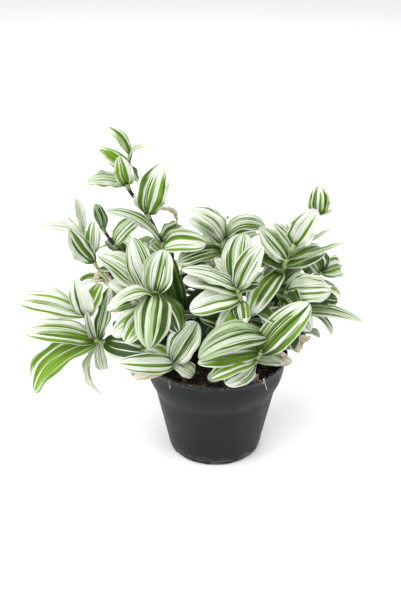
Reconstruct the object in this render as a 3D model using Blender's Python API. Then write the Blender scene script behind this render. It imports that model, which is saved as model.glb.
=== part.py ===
"""Small-leaf spiderwort with white-striped leaves, growing in a black nursery pot.

A thin plastic pot, turned round +Z, holds a plug of soil. Stems stand in plain
holes in the soil and carry blades by turns on either side. The base of the pot
lies on z = 0 with its centre on the origin, and -Y is the plant's front.
Lengths are written in millimetres and become metres in the meshes.
"""

import math

import bmesh
import bpy
import numpy as np
from mathutils.bvhtree import BVHTree

MM = 0.001

# Pot: 12 cm across the rim, 9 cm high, thin moulded wall; pairs are radius, height
POT_HEIGHT = 90.0
RIM_RADIUS = 60.0
RIM_DEPTH = 3.0
RIM_ROUND = 0.6
COLLAR_TOP = (58.6, 85.6)
COLLAR_FOOT = (57.0, 74.0)
SHOULDER_TOP = (54.6, 66.0)
SHOULDER_FOOT = (50.7, 58.5)
WALL_MIDDLE = (46.3, 38.0)
WALL_FOOT = (39.2, 3.6)
FOOT_EDGE = (38.4, 1.2)
BASE_RADIUS = 36.6
POT_WALL = 1.3
WALL_RISE = 0.2
FLOOR_RADIUS = 37.0
POT_SIDES = 36
DRAIN_COUNT = 6
DRAIN_RADIUS = 3.5
DRAIN_CIRCLE = 26.0
DRAIN_TURN = 0.12
DRAIN_SIDES = 8
CUT_OVERRUN = 2.0

# Soil: fills the pot to a finger's breadth under the rim
FIT_GAP = 0.3
SOIL_TOP = 79.5
SOIL_EDGE_DROP = 1.0
SOIL_RINGS = (48.0, 36.0, 22.0, 9.0)
SOIL_LUMP = 1.6
SOIL_SEED = 11
HOLE_GAP = 0.45
HOLE_FLOOR = 64.0
HOLE_OVERRUN = 8.0

# Stems and blades
STEM_FOOT = 64.4
STEM_CLEAR = 86.0
STEM_SIDES = 5
BLADE_THICKNESS = 0.66
ROOT_WIDTH = 1.4
ROOT_POWER = 0.60
TIP_POWER = 0.68
LONG_BLADE_ROWS = (0.0, 0.22, 0.50, 0.80, 1.0)
SHORT_BLADE_ROWS = (0.0, 0.26, 0.74, 1.0)
SHORT_BLADE = 44.0

# Clearance: a blade that would meet another is tipped aside until it is free
CLEARANCE = 0.55
JOINED_SHARE = 0.15
SIGHT = np.array((0.0, 0.894, -0.448))
ACROSS = np.array((1.0, 0.0, 0.0))
UPRIGHT = np.array((0.0, 0.448, 0.894))
SIGHT_STEPS = (0, -4, 4, -8, 8, -12, 12, -17, 17, -23, 23, -30, 30)
SIDE_STEPS = (0, -5, 5, -10, 10, -15, 15)
SIDE_COST = 2.2
OTHERS_COST = 3
LID_HALF = 40.0
LID_RISE = 2.0

# Each shoot: its stem's route out of the soil, the stem's radius at its foot and
# its end, and its blades. A blade is given by its place along the route (counted
# in route points), its tip seen from its root, its width, how far its middle
# rises over its chord, the angle by which its halves fold up, and the way its
# upper side faces.
SHOOTS = {
    "shoot_tall": {
        "route": ((-20, 15, 64.4), (-20, 15, 86), (-25, 13, 125), (-34, 10, 155),
                  (-41, 8, 176), (-50, 10, 198), (-59, 12, 213), (-69, 14, 228),
                  (-68, 16, 245), (-66, 18, 256)),
        "radii": (1.8, 1.1),
        "blades": (
            (8.7, (-14, -7, 24), 10, 2, 0.2, (0.5, -0.8, 0.4)),
            (8.95, (9, -3, 5), 5, 2, 0.5, (0.2, -0.6, 0.8)),
            (8.0, (18, -4, 17), 7, 5, 0.4, (-0.5, -0.3, 0.8)),
            (7.9, (-17, -9, 18), 13, 2, 0.2, (0.3, -0.9, 0.3)),
            (7.1, (-4, -12, 26), 16, 2, 0.3, (0, -1, 0.2)),
            (8.0, (8, 4, -22), 10, 2, 0.3, (1, -0.3, 0.3)),
            (7.1, (-31, -8, 6), 16, 2, 0.2, (0, -0.7, 0.8)),
            (5.5, (12, -14, 45), 26, 4, 0.15, (0, -1, 0.25)),
            (4.3, (-39, -14, 35), 13, 6, 0.2, (0.4, -0.5, 0.8)),
            (4.1, (34, -18, 12), 20, 7, 0.2, (0, -0.75, 0.7)),
            (3.8, (11, -16, -52), 22, 7, 0.1, (0.1, -0.9, 0.3)),
            (5.4, (24, 4, -11), 6, 11, 0.3, (0.3, 0, 1)),
            (4.3, (18, 16, 8), 17, 4, 0.2, (0, -0.6, 0.9)),
            (3.9, (-11, 2, 11), 13, 2, 0.2, (0.2, -0.9, 0.3)),
        ),
    },
    "shoot_left_high": {
        "route": ((-36, 24, 64.4), (-36, 24, 86), (-44, 23, 118), (-62, 20, 150),
                  (-82, 18, 177), (-92, 20, 192)),
        "radii": (1.6, 1.0),
        "blades": (
            (4.8, (-5, -2, 23), 11, 1, 0.3, (0, -1, 0.3)),
            (5.0, (-9, -3, -3), 4, 2, 0.3, (0, -0.5, 0.9)),
            (4.0, (22, 2, 24), 15, 5, 0.2, (-0.3, -0.8, 0.5)),
        ),
    },
    "shoot_left_mid": {
        "route": ((-38, 2, 64.4), (-38, 2, 86), (-46, 0, 118), (-62, -3, 146),
                  (-82, -5, 161), (-91, -5, 165), (-96, -4, 171), (-104, 2, 195)),
        "radii": (1.7, 1.0),
        "blades": (
            (6.0, (-15, -7, 28), 22, -3, 0.7, (0.1, -1, 0.3)),
            (6.9, (-33, -12, 12), 9, 2, 0.3, (0, -0.7, 0.8)),
            (7.0, (-4, -1, 28), 9, 1, 0.4, (0.4, -0.9, 0.1)),
            (7.0, (-14, 1, 14), 2.5, 1, 0.4, (0, -0.8, 0.5)),
            (6.3, (3, 6, 26), 14, 2, 0.4, (0, -0.9, 0.3)),
            (5.0, (-5, -3, -12), 6, 2, 0.3, (-0.6, -0.7, 0.2)),
            (4.6, (4, -3, -12), 5, 2, 0.3, (0.3, -0.9, 0.2)),
        ),
    },
    "shoot_left_front": {
        "route": ((-28, -25, 64.4), (-28, -25, 86), (-34, -30, 110), (-42, -38, 138),
                  (-47, -45, 160), (-46, -48, 167)),
        "radii": (1.9, 1.4),
        "blades": (
            (4.6, (7, 7, 33), 24, 2, 0.2, (0, -1, 0.2)),
            (4.2, (-16, 8, 45), 22, 2, 0.2, (0.1, -1, 0.3)),
            (3.9, (-42, 3, 37), 24, 4, 0.2, (0.2, -0.7, 0.7)),
            (3.5, (-36, -8, 27), 18, 3, 0.2, (0.1, -0.85, 0.6)),
            (4.5, (-10, -10, -9), 9, 2, 0.3, (0, -0.9, 0.4)),
            (4.9, (-5, -28, -32), 31, 9, -0.45, (0, -0.75, 0.7)),
            (3.7, (-23, -22, -21), 18, 4, 0.1, (0, -0.8, 0.5)),
            (4.1, (-35, -10, -5), 12, 12, 0.1, (0, -0.4, 0.9)),
            (3.3, (-36, -24, -5), 20, 6, -0.2, (0, -0.8, 0.6)),
            (4.75, (14, -20, -25), 21, 5, -0.2, (0.1, -0.8, 0.6)),
            (2.4, (-22, -14, -10), 16, 4, 0.1, (0, -0.8, 0.6)),
        ),
    },
    "shoot_far_left": {
        "route": ((-42, -14, 64.4), (-42, -14, 86), (-52, -16, 101), (-72, -19, 109),
                  (-95, -20, 109), (-101, -20, 120), (-104, -20, 132)),
        "radii": (1.8, 1.3),
        "blades": (
            (6.0, (-52, -10, 20), 20, 4, 0.2, (0, -0.8, 0.6)),
            (5.9, (-27, 15, 20), 7, 2, 0.3, (0, -0.7, 0.7)),
            (6.0, (-4, -3, 33), 19, 2, 0.2, (0, -1, 0.2)),
            (5.8, (13, 7, 28), 15, 2, 0.2, (-0.2, -1, 0.2)),
            (4.2, (-4, -5, 27), 8, 1, 0.4, (0, -1, 0.2)),
            (4.0, (11, -4, 50), 18, -2, 0.3, (-0.7, -0.7, 0.2)),
            (4.1, (-49, -20, 26), 20, 6, 0.1, (0, -0.8, 0.6)),
            (4.0, (-55, -36, -26), 26, 11, 0.15, (-0.1, -0.6, 0.8)),
            (4.05, (-46, -10, -14), 13, 5, 0.2, (0, -0.7, 0.7)),
            (3.9, (-1, -20, -38), 12, 8, 0.3, (-0.9, -0.4, 0.2)),
            (3.95, (3, -12, -24), 11, 2, 0.3, (0, -1, 0.2)),
            (3.75, (40, -22, 3), 21, 5, 0.1, (0, -0.8, 0.6)),
        ),
    },
    "shoot_front_left": {
        "route": ((-25, -38, 64.4), (-25, -38, 86), (-28, -44, 99), (-34, -52, 108)),
        "radii": (1.7, 1.3),
        "blades": (
            (3.0, (19, -4, 37), 24, 3, 0.2, (-0.3, -0.9, 0.4)),
            (2.9, (-23, -12, 17), 18, 3, 0.1, (0, -0.8, 0.6)),
            (2.7, (-40, -10, 13), 17, 5, 0.1, (0, -0.8, 0.6)),
            (2.5, (-34, -8, -8), 9, 5, 0.2, (-0.2, -0.8, 0.5)),
            (2.9, (16, -22, 0), 13, 9, 0.1, (0, -0.7, 0.7)),
        ),
    },
    "shoot_front": {
        "route": ((22, -30, 64.4), (22, -30, 86), (27, -40, 98), (31, -48, 108),
                  (39, -50, 130)),
        "radii": (1.8, 1.4),
        "blades": (
            (4.0, (-58, -22, -4), 24, 18, -0.1, (0, -0.75, 0.7)),
            (3.3, (36, -4, 46), 26, 5, 0.1, (0.2, -0.85, 0.5)),
            (3.0, (-38, -20, -3), 19, 12, -0.3, (0, -0.7, 0.8)),
            (2.9, (-24, -21, -8), 17, 4, -0.2, (0, -0.9, 0.4)),
            (2.95, (22, 3, -4), 8, 3, 0.2, (0, -0.7, 0.7)),
            (3.4, (-48, -16, 0), 15, 4, 0.1, (0, -0.9, 0.5)),
            (2.8, (-38, -20, -6), 12, 6, 0.2, (0, -0.8, 0.6)),
            (2.9, (-32, -14, 6), 12, 4, 0.1, (0, -0.8, 0.6)),
        ),
    },
    "shoot_centre": {
        "route": ((12, -18, 64.4), (12, -18, 86), (19, -26, 106), (23, -31, 122),
                  (20, -36, 145), (16, -40, 166)),
        "radii": (2.0, 1.6),
        "blades": (
            (5.0, (-42, -10, 21), 14, 3, 0.2, (0.1, -0.6, 0.8)),
            (4.8, (-42, -18, 20), 17, 3, 0.1, (0.1, -0.75, 0.65)),
            (5.0, (4, 8, 44), 24, 4, 0.2, (-0.3, -1, 0.2)),
            (5.0, (16, -4, 37), 20, 2, 0.3, (-0.3, -1, 0.2)),
            (4.9, (-17, 3, 28), 12, 3, 0.2, (0.3, -0.8, 0.4)),
            (4.9, (16, -10, 10), 9, 2, 0.3, (0, -0.6, 0.8)),
            (4.6, (-38, -24, 1), 20, 5, 0.1, (0, -0.8, 0.6)),
            (4.2, (-17, -26, -12), 22, 5, 0.1, (-0.2, -0.9, 0.4)),
            (4.4, (2, -18, -16), 13, 4, 0.2, (0, -0.9, 0.4)),
            (3.8, (-34, -10, 4), 17, 3, 0.2, (0, -0.9, 0.4)),
        ),
    },
    "shoot_back_mid": {
        "route": ((0, 8, 64.4), (0, 8, 86), (1, 6, 120), (3, 3, 152), (5, 0, 180),
                  (7, 0, 190)),
        "radii": (1.8, 1.2),
        "blades": (
            (4.8, (-28, -6, 30), 15, 8, 0.2, (0.3, -0.7, 0.6)),
            (4.9, (-13, 3, 26), 14, 3, 0.3, (0.3, -0.9, 0.2)),
            (4.4, (-27, 14, 16), 12, 3, 0.2, (0, -0.8, 0.6)),
            (4.6, (-14, 9, 13), 12, 2, 0.2, (0.2, 0.8, -0.5)),
            (5.0, (9, 5, 18), 4, 1, 0.4, (0, -1, 0.2)),
            (4.9, (25, -8, 14), 15, 12, 0.2, (0, -0.6, 0.8)),
            (4.5, (30, 12, 8), 16, 5, 0.2, (0, -0.7, 0.7)),
            (4.0, (-35, -15, -3), 17, 4, 0.1, (0, -0.7, 0.7)),
            (3.9, (-34, -19, -9), 9, 3, 0.2, (0, -0.8, 0.6)),
        ),
    },
    "shoot_right": {
        "route": ((30, 2, 64.4), (30, 2, 86), (36, -2, 112), (45, -7, 145),
                  (54, -10, 174), (62, -6, 190), (72, -2, 203), (79, 0, 210)),
        "radii": (1.9, 1.1),
        "blades": (
            (4.8, (15, -8, 32), 22, 2, 0.2, (-0.3, -1, 0.3)),
            (7.0, (-1, -5, 25), 18, 1, 0.3, (-0.1, -1, 0.1)),
            (6.9, (12, 1, 4), 5, 1, 0.4, (0, -0.8, 0.6)),
            (4.7, (30, -10, 23), 13, -3, 0.2, (-0.55, 0.35, 0.75)),
            (4.1, (42, -10, 22), 13, -4, 0.2, (-0.5, 0.35, 0.8)),
            (3.9, (34, 10, 12), 18, 4, 0.2, (0, -0.8, 0.6)),
            (4.7, (-10, 4, 19), 10, 2, 0.3, (0.2, -1, 0.3)),
            (4.8, (-3, 8, 18), 12, 2, 0.3, (0.2, -1, 0.3)),
            (4.1, (-22, -12, 32), 18, 2, 0.2, (0.2, -1, 0.3)),
            (3.9, (-21, -18, 20), 16, 2, 0.2, (0.2, -0.9, 0.5)),
            (3.7, (-26, -36, -20), 22, 6, 0.1, (-0.2, -0.8, 0.5)),
        ),
    },
    "shoot_right_back": {
        "route": ((36, 22, 64.4), (36, 22, 86), (46, 22, 112), (66, 21, 137),
                  (87, 20, 152)),
        "radii": (1.7, 1.2),
        "blades": (
            (4.0, (-14, -8, 21), 15, 2, 0.2, (0.3, -1, 0.2)),
            (4.0, (1, -6, 22), 12, 2, 0.3, (0, -1, 0.2)),
            (3.95, (21, -14, 14), 19, 3, 0.1, (-0.1, -0.9, 0.5)),
            (3.8, (22, 10, 6), 15, 4, 0.2, (0, -0.5, 0.9)),
        ),
    },
    "shoot_right_low": {
        "route": ((40, -12, 64.4), (40, -12, 86), (43, -16, 112), (48, -20, 136),
                  (56, -18, 153)),
        "radii": (1.8, 1.3),
        "blades": (
            (2.9, (69, -4, -4), 12, 5, 0.2, (0, -0.6, 0.8)),
            (3.6, (20, -26, -15), 19, 5, 0.1, (0.3, -0.8, 0.5)),
            (4.0, (35, -6, 5), 24, 11, -0.2, (-0.1, -0.8, 0.6)),
            (3.9, (18, 2, 16), 13, 2, 0.2, (-0.4, -0.8, 0.4)),
            (3.1, (24, -14, 18), 16, 0, 0.4, (-0.4, -0.9, 0.2)),
            (3.7, (44, 2, -4), 18, 4, 0.1, (0, -0.7, 0.7)),
            (2.8, (-11, -24, 12), 19, 3, 0.2, (-0.2, -0.9, 0.4)),
            (2.4, (-12, -20, 14), 14, 2, 0.2, (0, -1, 0.2)),
        ),
    },
}

# Shoots at the back and the sides, by one rule: where each stands, which way it
# leans (degrees from +X), how far and how high its end lies, and how many blades
BACK_SHOOTS = {
    "shoot_back_left": (-30, 34, 140, 52, 150, 10),
    "shoot_back": (6, 42, 96, 40, 160, 10),
    "shoot_back_right": (32, 36, 52, 50, 158, 10),
    "shoot_right_side": (46, 8, 27, 38, 128, 8),
    "shoot_back_low": (-6, 50, 108, 52, 112, 8),
    "shoot_left_side": (-48, 10, 158, 46, 138, 9),
}
BACK_SEED = 23
BACK_RADII = (1.7, 1.1)
BACK_BLADE = 44.0
BACK_BLADE_WIDTH = 0.46

# Low blades that fill the shoots' feet, by one rule: how many on each stem, and the
# route numbers between which they sit
LOW_BLADES = {
    "shoot_tall": (4, 1.6, 3.3),
    "shoot_left_high": (3, 1.6, 3.2),
    "shoot_left_mid": (3, 1.7, 3.4),
    "shoot_left_front": (2, 1.6, 2.6),
    "shoot_far_left": (3, 1.6, 3.2),
    "shoot_centre": (3, 1.5, 2.8),
    "shoot_back_mid": (4, 1.6, 3.4),
    "shoot_right": (4, 1.6, 3.2),
    "shoot_right_back": (2, 1.8, 3.0),
    "shoot_right_low": (2, 1.6, 2.6),
}
LOW_SEED = 5
LOW_BLADE = 36.0
LOW_BLADE_WIDTH = 0.50
HALF_TURN_STEP = 2.4

POT_COLOUR = (0.035, 0.037, 0.040, 1.0)
SOIL_COLOUR = (0.050, 0.033, 0.022, 1.0)
SHOOT_COLOUR = (0.42, 0.55, 0.26, 1.0)
POT_ROUGHNESS = 0.45
SOIL_ROUGHNESS = 0.95
SHOOT_ROUGHNESS = 0.4


def clear_scene():
    """Start from an empty scene."""
    for item in list(bpy.data.objects):
        bpy.data.objects.remove(item, do_unlink=True)


def principled(name, colour, roughness):
    """A material with the piece's own colour and roughness."""
    material = bpy.data.materials.new(name)
    material.use_nodes = True
    shader = material.node_tree.nodes["Principled BSDF"]
    shader.inputs["Base Color"].default_value = colour
    shader.inputs["Roughness"].default_value = roughness
    shader.inputs["Metallic"].default_value = 0.0
    return material


def unit(vector):
    """The vector at length one."""
    return vector / max(np.linalg.norm(vector), 1e-9)


def rounded_route(points, steps):
    """Points and their route numbers on a smooth curve through the route's points.

    The first leg stands in the soil and stays straight. The others are cubic
    curves whose slope at each point is that of the line between its neighbours.
    """
    hand = np.array(points, dtype=float)
    ends = np.vstack((2 * hand[0] - hand[1], hand, 2 * hand[-1] - hand[-2]))
    places, numbers = [], []
    for leg in range(1, len(ends) - 2):
        before, start, stop, after = ends[leg - 1:leg + 3]
        for t in np.arange(steps) / steps:
            numbers.append(leg - 1 + t)
            if leg == 1:
                places.append(start + (stop - start) * t)
                continue
            places.append(0.5 * (2 * start + (stop - before) * t
                                 + (2 * before - 5 * start + 4 * stop - after) * t ** 2
                                 + (3 * start - before - 3 * stop + after) * t ** 3))
    places.append(hand[-1])
    numbers.append(len(hand) - 1.0)
    return np.array(places), np.array(numbers)


def route_place(points, number):
    """The place at a route number, on the same smooth curve."""
    places, numbers = rounded_route(points, 8)
    return np.array([np.interp(number, numbers, places[:, axis]) for axis in range(3)])


def stem_mesh(points, radii):
    """Vertices and faces of a tapered tube along the route, closed at both ends."""
    places, numbers = rounded_route(points, 2)
    along = np.gradient(places, axis=0)
    along /= np.linalg.norm(along, axis=1, keepdims=True)
    side = np.cross(along, (0.0, 1.0, 0.0))
    side /= np.linalg.norm(side, axis=1, keepdims=True)
    other = np.cross(along, side)
    radius = np.interp(numbers, (1.0, numbers[-1]), radii)
    angle = np.arange(STEM_SIDES) * 2 * math.pi / STEM_SIDES
    ring = np.cos(angle)[None, :, None] * side[:, None] + np.sin(angle)[None, :, None] * other[:, None]
    vertices = (places[:, None] + radius[:, None, None] * ring).reshape(-1, 3)
    faces = []
    for row in range(len(places) - 1):
        for turn in range(STEM_SIDES):
            low, high = row * STEM_SIDES, (row + 1) * STEM_SIDES
            after = (turn + 1) % STEM_SIDES
            faces.append((low + turn, low + after, high + after))
            faces.append((low + turn, high + after, high + turn))
    first, last = 0, (len(places) - 1) * STEM_SIDES
    for turn in range(1, STEM_SIDES - 1):
        faces.append((first, first + turn + 1, first + turn))
        faces.append((last, last + turn, last + turn + 1))
    return vertices, faces


def half_width(share, width):
    """Half the blade's width at a share of its length: power curves from both ends."""
    peak = ROOT_POWER / (ROOT_POWER + TIP_POWER)
    top = peak ** ROOT_POWER * (1 - peak) ** TIP_POWER
    shape = np.clip(share, 0, 1) ** ROOT_POWER * np.clip(1 - share, 0, 1) ** TIP_POWER
    return width / 2 * shape / top


def blade_mesh(blade, start=0.0, swell=0.0):
    """Vertices and triangles of a thin closed blade, split alike on both faces.

    The midrib runs from root to tip and rises by the arch in its middle; the two
    halves fold up from it by the fold angle. start leaves out the joined root
    part, and swell makes the blade thicker and wider for a clearance test.
    """
    root, tip, width, arch, fold, facing = blade
    axis = unit(tip - root)
    normal = unit(facing - axis * (facing @ axis))
    rows = SHORT_BLADE_ROWS if np.linalg.norm(tip - root) < SHORT_BLADE else LONG_BLADE_ROWS
    share = np.array([row for row in rows if row > start])
    share = np.concatenate(((start,), share))
    rise = 4 * share * (1 - share)
    middle = root + np.outer(share, tip - root) + np.outer(arch * rise, normal)
    slope = (tip - root) + np.outer(arch * 4 * (1 - 2 * share), normal)
    slope /= np.linalg.norm(slope, axis=1, keepdims=True)
    side = np.cross(slope, normal)
    side /= np.linalg.norm(side, axis=1, keepdims=True)
    up = np.cross(side, slope)
    half = np.maximum(half_width(share, width), ROOT_WIDTH / 2) + swell
    thick = (BLADE_THICKNESS / 2 + swell) / math.cos(fold)
    left = middle - (half * math.cos(fold))[:, None] * side + (half * math.sin(fold))[:, None] * up
    right = middle + (half * math.cos(fold))[:, None] * side + (half * math.sin(fold))[:, None] * up
    sheet = np.stack((left, middle, right), axis=1)[:-1]
    upper = (sheet + thick * up[:-1, None]).reshape(-1, 3)
    lower = (sheet - thick * up[:-1, None]).reshape(-1, 3)
    point = tip + swell * axis
    ends = np.array((point + thick * up[-1], point - thick * up[-1]))
    vertices = np.vstack((upper, lower, ends))
    count = len(upper)
    rings = count // 3
    high, low = 2 * count, 2 * count + 1
    faces = []
    for row in range(rings - 1):
        for cell in range(2):
            a = row * 3 + cell
            b, c, d = a + 1, a + 4, a + 3
            faces += [(a, b, c), (a, c, d)]
            faces += [(count + c, count + b, count + a), (count + d, count + c, count + a)]
        for edge, flip in ((0, False), (2, True)):
            a, b = row * 3 + edge, row * 3 + 3 + edge
            wall = [(a, b, count + b), (a, count + b, count + a)]
            faces += [face[::-1] for face in wall] if flip else wall
    end = (rings - 1) * 3
    for cell in range(2):
        faces.append((end + cell, end + cell + 1, high))
        faces.append((count + end + cell + 1, count + end + cell, low))
    faces += [(end, high, low), (end, low, count + end)]
    faces += [(end + 2, low, high), (end + 2, count + end + 2, low)]
    for cell in range(2):
        faces += [(cell, count + cell, count + cell + 1), (cell, count + cell + 1, cell + 1)]
    return vertices, faces


def tree_of(meshes):
    """A search tree over several meshes' triangles."""
    vertices, faces, count = [], [], 0
    for some_vertices, some_faces in meshes:
        vertices.append(some_vertices)
        faces += [tuple(corner + count for corner in face) for face in some_faces]
        count += len(some_vertices)
    return BVHTree.FromPolygons(np.vstack(vertices).tolist(), faces)


def tip_shifts():
    """Ways to tip a blade aside, the smallest first."""
    shifts = []
    for sight in SIGHT_STEPS:
        for across in SIDE_STEPS:
            for upright in SIDE_STEPS:
                cost = abs(sight) + SIDE_COST * (abs(across) + abs(upright))
                shifts.append((cost, len(shifts), sight * SIGHT + across * ACROSS + upright * UPRIGHT))
    return [shift for _, _, shift in sorted(shifts, key=lambda entry: entry[:2])]


def back_shoot(place, generator):
    """A shoot by rule: the stem bends out one way, with blades by turns on either side.

    The stem leaves the soil upright and leans out to its end. Blades sit at even
    steps from a third of the way up, point partly along the stem, partly to their
    own side and partly up, and shorten towards the end.
    """
    x, y, lean, reach, height, count = place
    out = np.array((math.cos(math.radians(lean)), math.sin(math.radians(lean)), 0.0))
    foot = np.array((x, y, STEM_CLEAR))
    route = [(x, y, STEM_FOOT), (x, y, STEM_CLEAR)]
    for share in (0.3, 0.65, 1.0):
        rise = (height - foot[2]) * (1.55 * share - 0.55 * share ** 2)
        route.append(tuple(foot + out * reach * share ** 1.3 + (0.0, 0.0, rise)))
    side = np.cross((0.0, 0.0, 1.0), out)
    blades = []
    for index in range(count):
        share = index / (count - 1)
        turn = -1 if index % 2 else 1
        length = BACK_BLADE * (1.0 - 0.35 * share) * generator.uniform(0.85, 1.15)
        away = 0.95 - 0.45 * share
        aim = unit(out * (0.55 + 0.35 * share) + side * turn * away
                   + np.array((0.0, 0.0, generator.uniform(0.05, 0.55))))
        face = np.array((0.0, 0.0, 1.0)) + 0.35 * out + generator.uniform(-0.25, 0.25, 3)
        blades.append((1.6 + 2.4 * share, tuple(aim * length), BACK_BLADE_WIDTH * length,
                       generator.uniform(3.0, 7.0), generator.uniform(0.1, 0.35), tuple(face)))
    return {"route": tuple(route), "radii": BACK_RADII, "blades": tuple(blades)}


def low_blades(count, first, last, generator):
    """Blades by rule round a stem's foot, each turned on from the one below it."""
    blades = []
    turn = generator.uniform(0.0, 2.0 * math.pi)
    for index in range(count):
        turn += HALF_TURN_STEP
        length = LOW_BLADE * generator.uniform(0.85, 1.15)
        aim = unit(np.array((math.cos(turn), math.sin(turn), generator.uniform(0.2, 0.6))))
        face = np.array((0.0, -0.3, 1.0)) + generator.uniform(-0.2, 0.2, 3)
        number = first + (last - first) * index / max(count - 1, 1)
        blades.append((number, tuple(aim * length), LOW_BLADE_WIDTH * length,
                       generator.uniform(2.0, 6.0), generator.uniform(0.1, 0.3), tuple(face)))
    return blades


def placed_blades(route, blades, own, others):
    """Blades in place, each tipped aside just enough to clear what is there already.

    own holds this shoot's stem and the outer parts of its blades so far, and others
    is the search tree of everything outside the shoot. Blades of one shoot may meet
    where they join the stem, so only their outer parts are compared.
    """
    placed = []
    for number, reach, width, arch, fold, facing in blades:
        root = route_place(route, number)
        own_tree = tree_of(own)
        fewest, freest = None, None
        for shift in tip_shifts():
            blade = (root, root + np.array(reach, dtype=float) + shift, width, arch, fold,
                     np.array(facing, dtype=float))
            whole = tree_of([blade_mesh(blade, 0.0, CLEARANCE)])
            outer = tree_of([blade_mesh(blade, JOINED_SHARE, CLEARANCE)])
            met = len(others.overlap(whole)) * OTHERS_COST + len(own_tree.overlap(outer))
            if fewest is None or met < fewest:
                fewest, freest = met, blade
            if met == 0:
                break
        placed.append(freest)
        own.append(blade_mesh(freest, JOINED_SHARE))
    return placed


def turned_profile(profile, sides):
    """Vertices and faces of a closed solid: a profile turned round +Z, axis to axis."""
    rings = np.array(profile[1:-1])
    angle = np.arange(sides) * 2 * math.pi / sides
    ring = np.stack((np.cos(angle), np.sin(angle)), axis=1)
    vertices = [(0.0, 0.0, profile[0][1])]
    for radius, height in rings:
        vertices += [(radius * x, radius * y, height) for x, y in ring]
    vertices.append((0.0, 0.0, profile[-1][1]))
    faces = []
    for turn in range(sides):
        after = (turn + 1) % sides
        faces.append((0, 1 + after, 1 + turn))
        for row in range(len(rings) - 1):
            low, high = 1 + row * sides, 1 + (row + 1) * sides
            faces.append((low + turn, low + after, high + after, high + turn))
        last = 1 + (len(rings) - 1) * sides
        faces.append((last + turn, last + after, len(vertices) - 1))
    return np.array(vertices), faces


def solid(name, vertices, faces, material=None):
    """A mesh object in metres from vertices in millimetres."""
    mesh = bpy.data.meshes.new(name)
    mesh.from_pydata((np.asarray(vertices) * MM).tolist(), [], [list(map(int, face)) for face in faces])
    mesh.validate()
    if material:
        mesh.materials.append(material)
    piece = bpy.data.objects.new(name, mesh)
    bpy.context.scene.collection.objects.link(piece)
    return piece


def pot_profile():
    """The pot's section: out along the base, up the outside, down the inside."""
    outside = [(BASE_RADIUS, 0.0), FOOT_EDGE, WALL_FOOT, WALL_MIDDLE, SHOULDER_FOOT, SHOULDER_TOP,
               COLLAR_FOOT, COLLAR_TOP, (RIM_RADIUS, POT_HEIGHT - RIM_DEPTH),
               (RIM_RADIUS, POT_HEIGHT - RIM_ROUND), (RIM_RADIUS - RIM_ROUND, POT_HEIGHT)]
    inside = [(RIM_RADIUS - POT_WALL, POT_HEIGHT - RIM_ROUND)]
    for radius, height in (COLLAR_TOP, COLLAR_FOOT, SHOULDER_TOP, SHOULDER_FOOT, WALL_MIDDLE, WALL_FOOT):
        inside.append((radius - POT_WALL, height + WALL_RISE))
    inside.append((FLOOR_RADIUS, POT_WALL))
    return [(0.0, 0.0)] + outside + inside + [(0.0, POT_WALL)]


def soil_profile():
    """The soil's section: the pot's inside, drawn in by the fitting gap."""
    inner = [(radius - POT_WALL - FIT_GAP, height + WALL_RISE)
             for radius, height in (WALL_FOOT, WALL_MIDDLE, SHOULDER_FOOT, SHOULDER_TOP, COLLAR_FOOT)]
    floor = POT_WALL + FIT_GAP
    rim = (COLLAR_FOOT[0] - POT_WALL, SOIL_TOP - SOIL_EDGE_DROP)
    top = [(radius, SOIL_TOP) for radius in SOIL_RINGS]
    return [(0.0, floor), (BASE_RADIUS, floor)] + inner + [rim] + top + [(0.0, SOIL_TOP)]


def cutter(name, x, y, radius, low, high, sides):
    """A hidden upright cylinder that cuts a hole."""
    bpy.ops.mesh.primitive_cylinder_add(vertices=sides, radius=radius * MM, depth=(high - low) * MM,
                                        location=(x * MM, y * MM, (low + high) / 2 * MM))
    tool = bpy.context.object
    tool.name = name
    tool.hide_render = True
    tool.display_type = "WIRE"
    return tool


def bake(piece):
    """Apply the piece's modifiers to its mesh."""
    bpy.context.view_layer.update()
    graph = bpy.context.evaluated_depsgraph_get()
    mesh = bpy.data.meshes.new_from_object(piece.evaluated_get(graph))
    piece.modifiers.clear()
    piece.data = mesh


def cut(piece, tools):
    """Cut the tools out of the piece and remove them."""
    for tool in tools:
        modifier = piece.modifiers.new("hole", "BOOLEAN")
        modifier.object = tool
        modifier.operation = "DIFFERENCE"
    bake(piece)
    for tool in tools:
        bpy.data.objects.remove(tool, do_unlink=True)


def keep_one_body(piece):
    """Drop scraps and sealed hollows: keep only the connected surface with most corners."""
    work = bmesh.new()
    work.from_mesh(piece.data)
    left = set(work.verts)
    bodies = []
    while left:
        reached = {left.pop()}
        front = list(reached)
        while front:
            near = {edge.other_vert(corner) for corner in front for edge in corner.link_edges}
            front = list(near - reached)
            reached |= near
        left -= reached
        bodies.append(reached)
    bodies.sort(key=len)
    spare = [corner for body in bodies[:-1] for corner in body]
    bmesh.ops.delete(work, geom=spare, context="VERTS")
    work.to_mesh(piece.data)
    work.free()


def fused(name, meshes, material):
    """One body from a stem and its blades, by a Boolean union over a collection."""
    group = bpy.data.collections.new(name + "_pieces")
    bpy.context.scene.collection.children.link(group)
    pieces = []
    for index, (vertices, faces) in enumerate(meshes):
        piece = solid("{}_piece_{}".format(name, index), vertices, faces)
        if index:
            bpy.context.scene.collection.objects.unlink(piece)
            group.objects.link(piece)
        pieces.append(piece)
    stem = pieces[0]
    stem.name = name
    stem.data.materials.append(material)
    modifier = stem.modifiers.new("join", "BOOLEAN")
    modifier.operand_type = "COLLECTION"
    modifier.collection = group
    modifier.operation = "UNION"
    bake(stem)
    for piece in pieces[1:]:
        bpy.data.objects.remove(piece, do_unlink=True)
    bpy.data.collections.remove(group)
    keep_one_body(stem)
    return stem


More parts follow.
